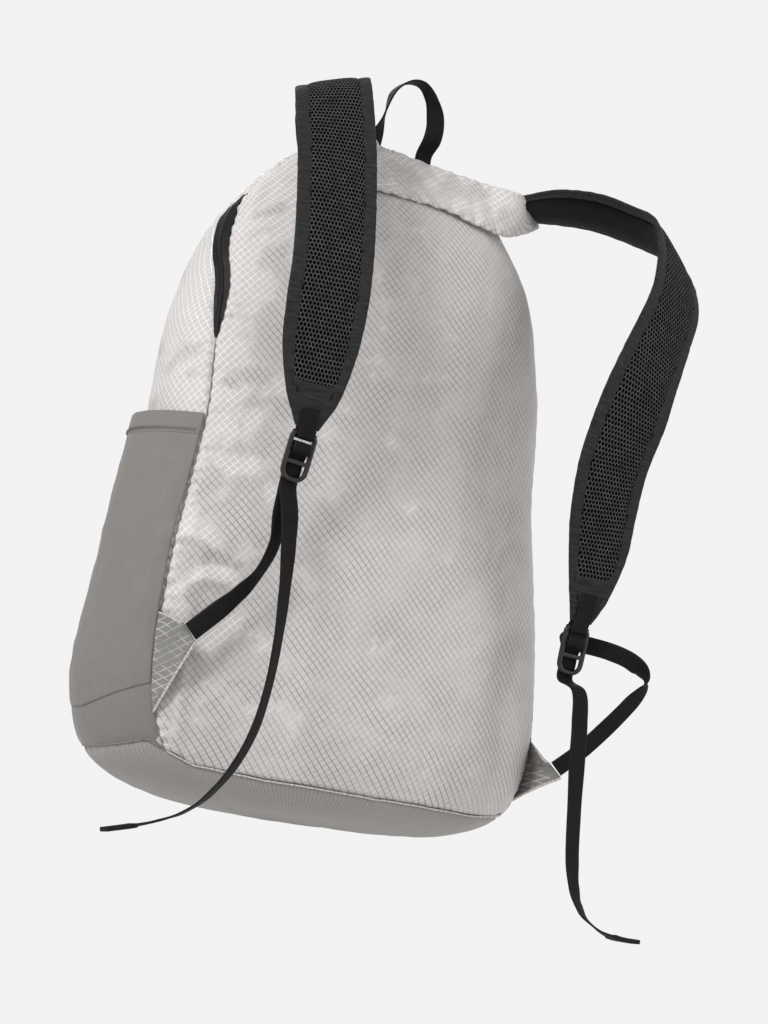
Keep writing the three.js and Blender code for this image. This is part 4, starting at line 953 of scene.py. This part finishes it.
def pocket(side, word):
    flip, columns, rows, hem_rows = side == RIGHT, 110, 120, 16
    points, uv = pocket_grid(side, 16.0, POCKET_CLOTH, columns, rows, 0.7, 18.0)
    cloth = add_sheet("pocket_cloth_" + word, points, STRETCH, uv, ("pocket_" + word,), flip)
    solidify(cloth, 0.9)
    points, uv = pocket_grid(side, 4.5, HEM_HEIGHT + 4, columns, hem_rows, 1.0)
    t = np.linspace(0, 1, hem_rows)[:, None]
    middle = points.mean(axis=(0, 1)) * np.array([1, 1, 0])
    out = unit(points - middle - np.array([0, 0, 1]) * points[..., 2:])
    roll = 0.45 * np.sin(math.pi * t) ** 0.5 - 0.5 * bell(t - 0.93, 0.06)
    points = points + out * roll[..., None]
    nodes = ("pocket_hem_" + word,)
    solidify(add_sheet("pocket_hem_cloth_" + word, points, STRETCH, uv, nodes, flip), 1.8)
    line = points[12, 3:-3] + out[12, 3:-3] * 0.7
    line[:, 2] += 0.9 * (-1.0) ** np.arange(len(line))
    wire("hem_stitch_" + word, line, 0.3, THREAD, sides=5)


def gusset(side, word):
    """The taupe cloth under a pocket, up from the base seam."""
    columns, rows = 90, 40
    start = float(turn_at_seam(share_at(0.09), side, SEAM_SIDE))
    end = -math.pi / 2 + side * POCKET_TURN
    turn = start + (end - start) * np.linspace(0, 1, columns)[None]
    high = climb(share_at(1 - (POCKET_MOUTH + GUSSET_TOP) / HEIGHT))
    share = shares_between(climb(share_at_base(turn)), high, rows)
    turn = np.broadcast_to(turn, share.shape)
    uv = arc_uv(body(share, turn), share, 0)
    edge = np.minimum(uv[..., 0], uv[..., 0][:, -1:] - uv[..., 0])
    rim = np.minimum(np.linspace(0, 1, rows)[:, None] * rows / 3, 1)
    points = skin(share, turn, 0.9 * np.clip(np.abs(edge) / 2.0, 0, 1) * rim, CALM)
    add_sheet("gusset_cloth_" + word, points, STRETCH, uv, flip=side == LEFT)


for side, word in SIDES:
    pocket(side, word)
    gusset(side, word)


# Shoulder straps.
def strap_frames(rows, share, side):
    """A strap's middle line, the ways across it and off its face, its width, and the way it runs."""
    data = smooth_rows(rows, share)
    step = STRAP_STEP / 2
    before, after = (smooth_rows(rows, np.clip(share + s, 0, 1)) for s in (-step, step))
    run = unit(place(*after[:, :3].T) - place(*before[:, :3].T))
    across = unit(data[:, 3:6])
    return place(*data[:, :3].T), across, unit(np.cross(run, across)) * side, data[:, 6] * STRAP_WIDTH, run


def even_shares(rows, side, step):
    dense = np.linspace(0, 1, 400)
    along = lengths(strap_frames(rows, dense, side)[0])
    return np.interp(np.linspace(0, along[-1], int(along[-1] / step)), along, dense)


def strap_sheet(name, frames, reach, off, facing, side, material=None, nodes=()):
    """A sheet on one face of a strap: reach across it and off its middle."""
    middle, across, face, along = frames
    points = off_line(middle, across, face, reach, facing * off)
    flip = side * facing == RIGHT
    return add_sheet(name, points, material or BINDING, line_uv(reach, along), nodes, flip)


def rounded(value, power):
    return np.sign(value) * np.abs(value) ** power


def stitches(name, line, keep):
    """Short raised threads along a line, one for each run of kept points."""
    verts, faces = [], []
    ends = np.flatnonzero(np.diff(np.concatenate([[0], keep.astype(int), [0]])))
    for first, past in zip(ends[::2], ends[1::2]):
        if past - first < 2:
            continue
        a, b = line[first], line[past - 1]
        d = unit(b - a)
        s = unit(np.cross(d, np.array([0.3, 0.5, 0.8])))
        t = np.cross(d, s)
        rings = [a + (b - a) * share + STITCH_RADIUS * thick * (math.cos(q) * s + math.sin(q) * t)
                 for share, thick in ((0, 0.5), (0.3, 1), (0.7, 1), (1, 0.5))
                 for q in np.arange(5) * 2 * math.pi / 5]
        add_faces(verts, faces, rings, tube_faces(4, 5))
    add_mesh(name, verts, faces, LINING, np.zeros((len(verts), 2)))


def strap_pad(word, side, frames, seam):
    """Mesh over foam on one face and smooth cloth on the other, up to the bound edges."""
    along = frames[3]
    u = np.linspace(-1, 1, 27)
    crown = (1 - np.abs(u) ** 3.5) ** 0.6
    end_fade = np.clip((along[-1] - along) / 9.0, 0, 1) ** 0.5
    quilt = 0.35 * drift(along, 21.0, 0.0, side)
    swell = (PAD_THICK / 2 - 0.3) * (0.35 + 0.65 * end_fade)
    off = 0.8 + (swell + quilt)[:, None] * crown
    reach = (seam + 1.2)[:, None] * u
    pad = strap_sheet("strap_mesh_" + word, frames, reach, off, 1, side, MESH,
                      ("strap_pad_" + word,))
    strap_sheet("strap_lining_" + word, frames, reach, off, -1, side, LINING)


def strap_edge(word, side, edge, frames, inner, outer):
    """Cloth folded round one edge, with small puckers along it, and the stitch line that holds it."""
    middle, across, face, along = frames
    label = word + ("_inner" if edge < 0 else "_outer")
    centre, half = (inner + outer) / 2 * edge, (outer - inner) / 2
    pucker = drift(along, 5.5, 7.0 * edge, side * 3.0)
    slow = drift(along, 17.0, 4.0 * edge, side * 2.0)
    angle = np.linspace(0, 2 * math.pi, 20, endpoint=False)
    wide = centre[:, None] + rounded(np.cos(angle), 0.7) * (half - 0.25 + 0.25 * pucker)[:, None]
    thick = BINDING_THICK / 2 + 0.18 + 0.30 * pucker + 0.2 * slow
    deep = rounded(np.sin(angle), 0.75) * thick[:, None]
    rings = off_line(middle, across, face, wide, deep)
    nodes = ("strap_binding_" + word,) if edge < 0 else ()
    uv = line_uv(wide, along)
    add_mesh("strap_edge_" + label, rings, tube_faces(*wide.shape), BINDING, uv, nodes)
    line = middle + across * ((inner + 1.6) * edge)[:, None] + face * (BINDING_THICK / 2 + 0.22)
    stitches("strap_stitches_" + label, line, np.sin(along * 2 * math.pi / STITCH_PITCH) > -0.2)


def strap_tongue(word, side, frames, width, way):
    """The cloth below the pad, which narrows past the strap's last point."""
    past = np.array([1.3, 2.6, 3.9, 5.2])
    narrowing = (0.5 * width[-1] - 1.0) * np.array([0.95, 0.86, 0.74, 0.6])
    middle, across, face, along = frames
    end = along[-1]
    frames = (
        np.concatenate([middle, middle[-1] + way * past[:, None]]),
        np.concatenate([across, np.repeat(across[-1:], 4, 0)]),
        np.concatenate([face, np.repeat(face[-1:], 4, 0)]),
        np.concatenate([along, end + past]),
    )
    along = frames[3]
    reach = np.concatenate([0.5 * width - 2.5, narrowing])[:, None] * np.linspace(-1, 1, 15)
    crease = [[noise.noise((x / 6.0, y / 9.0, side)) for y in row] for x, row in zip(along, reach)]
    crease = 0.4 * np.array(crease) * np.clip((end - along) / 6.0, 0, 1)[:, None]
    thick = (BINDING_THICK / 2 - 0.1) * np.clip((end + 8 - along) / 8.0, 0.3, 1)
    for facing, label in ((1, "face_"), (-1, "back_")):
        strap_sheet("strap_end_" + label + word, frames, reach, thick[:, None] + crease, facing, side)


def strap_band(word, side, frames, seam, pad_length):
    """The band across the end of the mesh."""
    reach = (seam + 2.0)[:, None] * np.linspace(-1, 1, 15)
    rise = 1.3 + 1.1 * np.cos((frames[3] - pad_length) / 3.5 * math.pi / 2)
    for facing, label in ((1, "face_"), (-1, "back_")):
        strap_sheet("strap_band_" + label + word, frames, reach, rise[:, None] + 0 * reach, facing, side)


def strap(rows, side, word, pad_end):
    share = even_shares(rows, side, 1.6)
    middle, across, face, width, run = strap_frames(rows, share, side)
    along = lengths(middle)
    seam = (0.5 - BINDING_WIDTH / STRAP_WIDTH) * width
    padded = share <= pad_end
    pad_length = along[padded][-1]
    inner = np.where(padded, seam, np.maximum(seam - 1.5, 0.1)) - 0.8

    def part(kept):
        return middle[kept], across[kept], face[kept], along[kept]

    strap_pad(word, side, part(padded), seam[padded])
    for edge in (-1, 1):
        strap_edge(word, side, edge, part(share >= 0), inner, 0.5 * width)
    below = share >= pad_end - 0.012
    strap_tongue(word, side, part(below), width[below], run[-1])
    band = np.abs(along - pad_length) < 3.4
    strap_band(word, side, part(band), seam[band], pad_length)


strap(STRAP_LEFT, LEFT, "left", 0.83)
strap(STRAP_RIGHT, RIGHT, "right", 0.9)


# Buckles, with lengths measured down the strap from the buckle's middle.
TOP_BAR = -BUCKLE_LENGTH / 2 + BUCKLE_BAR / 2
MIDDLE_BAR = TOP_BAR + BUCKLE_BAR + BUCKLE_SLOT
LOWER_BAR = MIDDLE_BAR + BUCKLE_BAR + BUCKLE_SLOT
BUCKLES = {
    "left": (place(-0.458, -0.385, 0.5066), (-0.09, 0.17, -0.98), (1, 0, -0.09)),
    "right": (place(0.9, -0.325, 0.698), (-0.04, 0.12, -0.99), (1, -0.02, -0.04)),
}


def buckle_frame(word):
    middle, run, across = BUCKLES[word]
    run = unit(table(run))
    face = unit(np.cross(run, table(across)))
    return middle, run, np.cross(face, run), face


def buckle(word):
    """A ladder-lock: a frame with round upper corners and cut lower ones, and three bars."""
    middle, run, across, face = buckle_frame(word)
    inset, corner, cut, sides = 1.55, 3.2, 5.0, 12
    w, low = BUCKLE_WIDTH / 2 - inset, BUCKLE_LENGTH / 2 - inset
    outline = [(x + corner * math.cos(q), corner - low + corner * math.sin(q))
               for x, start in ((corner - w, math.pi), (w - corner, 1.5 * math.pi))
               for q in np.linspace(start, start + math.pi / 2, 7)]
    right = [(w, 0.0), (w, low - cut - 1), (w - 0.5, low - cut + 1.6), (w - 2.6, low - 1.2), (w - 4.4, low)]
    outline = table(outline + right + [(0, low + 0.2)] + [(-x, y) for x, y in right[::-1]])
    tangent = unit(np.roll(outline, -1, 0) - np.roll(outline, 1, 0))
    angle = np.arange(sides) * 2 * math.pi / sides
    section = np.stack([rounded(np.cos(angle), 0.6), rounded(np.sin(angle), 0.6)], 1)
    verts, faces = [], []
    for (x, y), (tx, ty) in zip(outline, tangent):
        out = across * ty - run * tx
        verts += [middle + across * x + run * y + out * (1.5 * a) + face * (b * (BUCKLE_THICK / 2 + 0.1))
                  for a, b in section]
    ring = grid_faces(len(outline) + 1, sides, wrap=True, flip=True)
    faces += [tuple(i % len(verts) for i in face) for face in ring]
    for where, thick, wide in ((TOP_BAR, 1.5, 1.45), (MIDDLE_BAR, 1.6, 1.45), (LOWER_BAR, 1.45, 1.5)):
        bar = [middle + across * x + run * (where + a * wide) + face * (b * thick)
               for x in np.linspace(-w, w, 5) for a, b in section]
        add_faces(verts, faces, bar, grid_faces(5, sides, wrap=True))
    obj = add_mesh("buckle_body_" + word, verts, faces, PLASTIC, np.zeros((len(verts), 2)),
                   ("buckle_" + word,))
    smooth = obj.modifiers.new("smooth", "SUBSURF")
    smooth.levels = smooth.render_levels = 1


# Webbing.
def knots_of(rows):
    rows = table(rows)
    return list(place(*rows[:, :3].T)), list(rows[:, 3:6])


def buckle_knots(word, hangs):
    """The webbing's way over the middle bar and out behind the lower one."""
    middle, run, across, face = buckle_frame(word)
    turn = BUCKLE_BAR / 2 + CLEAR + WEBBING_THICK / 2 + 0.9
    front = BUCKLE_THICK / 2 + CLEAR + WEBBING_THICK / 2
    back = front + WEBBING_THICK + 0.8
    rows = [(MIDDLE_BAR + 0.9 * turn, -back), (MIDDLE_BAR - 0.7 * turn, -1.2 * front), (MIDDLE_BAR - turn, 0),
            (MIDDLE_BAR - 0.7 * turn, front), (MIDDLE_BAR + 0.7 * turn, front), (MIDDLE_BAR + turn, 0),
            (LOWER_BAR - 0.3 * turn, -front), (LOWER_BAR + 1.5 * turn, -front),
            (BUCKLE_LENGTH / 2 + 0.9 * turn, -0.8 * front)]
    if hangs:
        rows = [(LOWER_BAR + 0.9 * turn, -back), (MIDDLE_BAR + 2.3 * turn, -back)] + rows
    return [middle + run * a + face * b for a, b in rows], [across] * len(rows)


def webbing_strap(word, adjuster, tail, hangs):
    """One length of webbing from the corner tab through the buckle to the folded tip."""
    parts = knots_of(adjuster), buckle_knots(word, hangs), knots_of(tail)
    route = [sum(lists, []) for lists in zip(*parts)]
    ribbon("webbing_strap_" + word, route, WEBBING_WIDTH, WEBBING_THICK, "webbing_" + word, folded=TIP_LENGTH)


def buckle_tape(word, rows, side):
    """The tape on both faces of the strap's end, which holds the buckle's top bar."""
    middle, run, across, face = buckle_frame(word)
    lift = BINDING_THICK / 2 + CLEAR + TAPE_THICK / 2 - 0.2
    bar = math.hypot(BUCKLE_BAR, BUCKLE_THICK) / 2 + CLEAR + TAPE_THICK / 2
    length = lengths(strap_frames(rows, np.linspace(0, 1, 200), side)[0])[-1]
    covered, last = TAPE_LENGTH / length, 0.988

    def on_face(share, off):
        m, way, f, _, _ = strap_frames(rows, np.array([share]), side)
        return m[0] + f[0] * off, way[0] * side

    knots = [on_face(share, lift) for share in np.linspace(1 - covered, last, 4)]
    for down, off in ((-0.4, 1), (0.75, 0.7), (1, 0), (0.75, -0.7), (-0.4, -1)):
        knots.append((middle + run * (TOP_BAR + down * bar) + face * off * bar, across))
    knots += [on_face(last, -lift), on_face(1 - 0.4 * covered, -lift)]
    route = list(zip(*knots))
    ribbon("buckle_tape_cloth_" + word, route, TAPE_WIDTH, TAPE_THICK, "buckle_tape_" + word, step=0.8)


for word, adjuster, tail, hangs in (("left", ADJUSTER_LEFT, TAIL_LEFT, True),
                                    ("right", ADJUSTER_RIGHT, TAIL_RIGHT, False)):
    webbing_strap(word, adjuster, tail, hangs)
    buckle(word)
buckle_tape("left", STRAP_LEFT, LEFT)
buckle_tape("right", STRAP_RIGHT, RIGHT)


def loop_foot(row):
    """Where a foot of the haul loop stands behind the yoke's top edge, and its way across."""
    out = 2 * abs(row[0] * LOOP_SPAN) / WIDTH
    p = place(out, read(YOKE_RIGHT, out, 1), read(YOKE_RIGHT, out, 2))
    return np.array([row[0] * LOOP_SPAN, p[1] + YOKE_HALF + CLEAR + WEBBING_THICK / 2, p[2]]), row[1:4]


def haul_loop():
    bends = table(LOOP_BEND)
    (left, left_way), (right, right_way) = (loop_foot(row) for row in LOOP_FEET)
    tuck = np.array([0, 0, LOOP_TUCK])
    knots = [left - tuck, left + tuck]
    knots += [(r[0] * LOOP_SPAN, r[1] * LOOP_RISE, r[2] * LOOP_RISE + WEBBING_THICK / 2) for r in bends]
    knots += [right + tuck, right - tuck]
    ways = [left_way] * 2 + list(bends[:, 3:6]) + [right_way] * 2
    ribbon("haul_loop_webbing", (knots, ways), WEBBING_WIDTH, WEBBING_THICK, "haul_loop")


haul_loop()


# The yoke, from under one strap's end across the top to the other's.
def under_strap(rows, share, side, across):
    m, way, f, w, _ = strap_frames(rows, np.array([share]), side)
    return m[0] + way[0] * across * w[0] - f[0] * (PAD_THICK / 2 + TAB_HALF + YOKE_HALF)


def back_fore(p):
    """How far back the body reaches at each point, or far in front where it isn't."""
    down = np.clip((TOP - p[..., 2]) / HEIGHT, 0, 1)
    _, half_w, half_d, fore = np.moveaxis(smooth_rows(BODY_SECTIONS, share_at(1 - down)), -1, 0)
    out = np.clip(np.abs(2 * (p[..., 0] - BODY_SIDE * down) / WIDTH) / half_w, 0, 1)
    deep = (1 - out ** POWER) ** (1 / POWER)
    return np.where((down > 0.002) & (out < 1), fore * BODY_AXIS - deep * half_d * DEPTH / 2, 1e3)


def faced_back(sheet):
    """The ways off a sheet on its side towards the wearer."""
    away = unit(np.cross(np.gradient(sheet, axis=0), np.gradient(sheet, axis=1)))
    return -away if away[sheet.shape[0] // 2, sheet.shape[1] // 2 - 1][1] > 0 else away


def yoke():
    columns, rows, knots = 150, 34, 7
    steps = np.linspace(0, 1, knots)
    control = [[under_strap(STRAP_LEFT, 0.03 - 0.03 * t, LEFT, t - 0.5) for t in steps]]
    for row in YOKE_LEFT[::-1] + YOKE_RIGHT:
        top, low = place(*row[:3]), place(*row[3:])
        control.append(top + (low - top) * steps[:, None])
    control = np.array(control + [[under_strap(STRAP_RIGHT, 0.07 * t, RIGHT, t - 0.5) for t in steps]])
    s, t = np.linspace(0, 1, columns), np.linspace(0, 1, rows)
    lines = np.stack([centripetal(control[:, i], s) for i in range(knots)], 1)
    sheet = np.array([centripetal(line, t) for line in lines])
    s = s[:, None]
    on_body = (s > 0.12) & (s < 0.9)
    sheet[..., 1] = np.where(on_body, np.minimum(sheet[..., 1], back_fore(sheet) - 1.7), sheet[..., 1])
    ribs = 0.5 * np.sin(s * 150) * bell(1 - t, 0.1) + 0.35 * np.sin(s * 170 + 1) * bell(t, 0.12)
    swell = 1.3 * np.sin(math.pi * t) ** 0.7 - 0.9 * bell(1 - t, 0.05)
    lift = 0.7 * ripple(sheet, 24.0, 5.5) + 0.9 * ripple(sheet, 11.0, 2.5) + 1.3 * ribs + swell
    points = sheet + faced_back(sheet) * lift[..., None]
    uv = np.stack(np.broadcast_arrays(lengths(sheet[:, 16])[:, None], -lengths(sheet)), -1)
    solidify(add_sheet("yoke_cloth", points, RIPSTOP, uv, ("yoke",)), 1.2)


yoke()


# Corner tabs and piping.
def tab(word, side, from_down, to_down, adjuster):
    """A tab from the side seam to the end of the webbing, with light piping on both its edges."""
    first, ways = knots_of(adjuster)
    centre = first[0] + np.array([0, WEBBING_THICK / 2 + CLEAR + TAB_HALF, 0])
    n, m = 40, 34
    t = np.linspace(0, 1, n)
    share = share_at(1 - (from_down + (to_down - from_down) * t))
    root = body(share, turn_at_seam(share, side), 0.6)
    tip = centre + unit(ways[0]) * ((t - 0.5) * TAB_TIP)[:, None]
    along = np.linspace(0, 1, m)
    sheet = root[:, None] + (tip - root)[:, None] * along[:, None]
    away = faced_back(sheet)
    wave = 0.9 * np.sin(math.pi * along) * np.sin(t * 7 + 1)[:, None] + 0.5 * ripple(sheet, 9.0, 2.2)
    sheet = sheet + away * (wave + 0.7)[..., None]
    nodes = ("corner_tab_" + word,)
    # The tab's cloth is the darker copy of the ripstop, painted shade.
    cloth = add_sheet("tab_cloth_" + word, sheet, RIPSTOP_PAINTED_SHADE, sheet[..., ::2], nodes)
    solidify(cloth, 1.4, 0.0)
    wire("tab_piping_" + word, sheet[-1] + away[-1] * 0.4, 0.85, PIPING)
    wire("tab_edge_" + word, sheet[0] + away[0] * 0.4, 0.55, PIPING)


tab("left", LEFT, 0.745, 0.885, ADJUSTER_LEFT)
tab("right", RIGHT, 0.82, 0.922, ADJUSTER_RIGHT)


def base_piping():
    """Piping along the base seam at the back, and thread along it at the front and sides."""
    turn = np.linspace(0, 2 * math.pi, 420)
    line = skin(share_at_base(turn), turn, 0.1, CALM)
    left, right = (2 * math.pi + float(turn_at_seam(share_at(0.07), side)) for side in (LEFT, RIGHT))
    wire("base_piping", line[(turn > left) & (turn < right)], 0.6, PIPING)
    wire("base_seam_left", line[turn <= left], 0.4, THREAD)
    wire("base_seam_right", line[turn >= right], 0.4, THREAD)


base_piping()
for side, word in SIDES:
    share = share_at(np.linspace(0.075, 0.655, 220))
    wire("side_seam_" + word, skin(share, turn_at_seam(share, side), -0.75), 0.42, THREAD)

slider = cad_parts["zipper_slider"]
slider.data.materials.clear()
slider.data.materials.append(PLASTIC)

# Camera, at the photograph's angle.
AZIMUTH, ELEVATION, ROLL = (math.radians(a) for a in (27.0, 9.5, 7.4))
AIM = Vector((0.01941, 0, -0.29353))
FOCAL_PIXELS, IMAGE_PIXELS, SENSOR = 3000, 768, 36
level = math.cos(ELEVATION)
back = Vector((-math.sin(AZIMUTH) * level, -math.cos(AZIMUTH) * level, -math.sin(ELEVATION)))
right = Vector((math.cos(AZIMUTH), -math.sin(AZIMUTH), 0))
up = back.cross(right)
x_axis = right * math.cos(ROLL) + up * math.sin(ROLL)
y_axis = up * math.cos(ROLL) - right * math.sin(ROLL)


def square_on(distance):
    """A place on the camera's line of sight, so many metres from the point it looks at."""
    matrix = Matrix((x_axis, y_axis, back)).transposed().to_4x4()
    matrix.translation = AIM + distance * back
    return matrix


camera = bpy.data.objects.new("camera", bpy.data.cameras.new("camera"))
camera.data.sensor_fit = "HORIZONTAL"
camera.data.sensor_width = SENSOR
camera.data.lens = FOCAL_PIXELS / IMAGE_PIXELS * SENSOR
camera.data.clip_end = 50
camera.matrix_world = square_on(2.0)
link(camera)
bpy.context.scene.camera = camera


# Floor, backdrop and light.
def stage_plane(name, half_width, half_height, matrix, finish):
    mesh = bpy.data.meshes.new(name)
    corners = ((-1, -1), (1, -1), (1, 1), (-1, 1))
    mesh.from_pydata([(x * half_width, y * half_height, 0) for x, y in corners], [], [(0, 1, 2, 3)])
    material = bpy.data.materials.new(name)
    material.use_nodes = True
    for socket, value in finish.items():
        material.node_tree.nodes["Principled BSDF"].inputs[socket].default_value = value
    mesh.materials.append(material)
    obj = bpy.data.objects.new(name, mesh)
    obj.matrix_world = matrix
    link(obj)


def grey(level):
    return (level, level, level, 1)


WALL = grey(0.893)
stage_plane("floor", 15, 15, Matrix.Translation((0, 0, -1.6)), {"Base Color": grey(0.86), "Roughness": 1})
stage_plane("backdrop", 1.4, 1.6, square_on(-3.0), {
    "Base Color": grey(0),
    "Specular IOR Level": 0,
    "Emission Color": WALL,
    "Emission Strength": 1,
})

world = bpy.data.worlds.new("studio")
bpy.context.scene.world = world
world.use_nodes = True
world.node_tree.nodes["Background"].inputs[0].default_value = WALL
world.node_tree.nodes["Background"].inputs[1].default_value = 0.72


def lamp(name, location, target, size, power):
    data = bpy.data.lights.new(name, "AREA")
    data.shape, data.size, data.energy = "DISK", size, power
    obj = bpy.data.objects.new(name, data)
    obj.location = location
    obj.rotation_euler = (Vector(target) - Vector(location)).to_track_quat("-Z", "Y").to_euler()
    link(obj)


lamp("key", (-2.1, -1.15, 0.9), (0, 0, -0.3), 0.7, 46)
lamp("fill", (1.9, -1.6, 0.3), (0, 0, -0.3), 1.5, 20)
lamp("rim", (0.4, 1.8, 1.2), (0, 0, -0.2), 1.2, 10)
bpy.context.scene.view_settings.view_transform = "Standard"
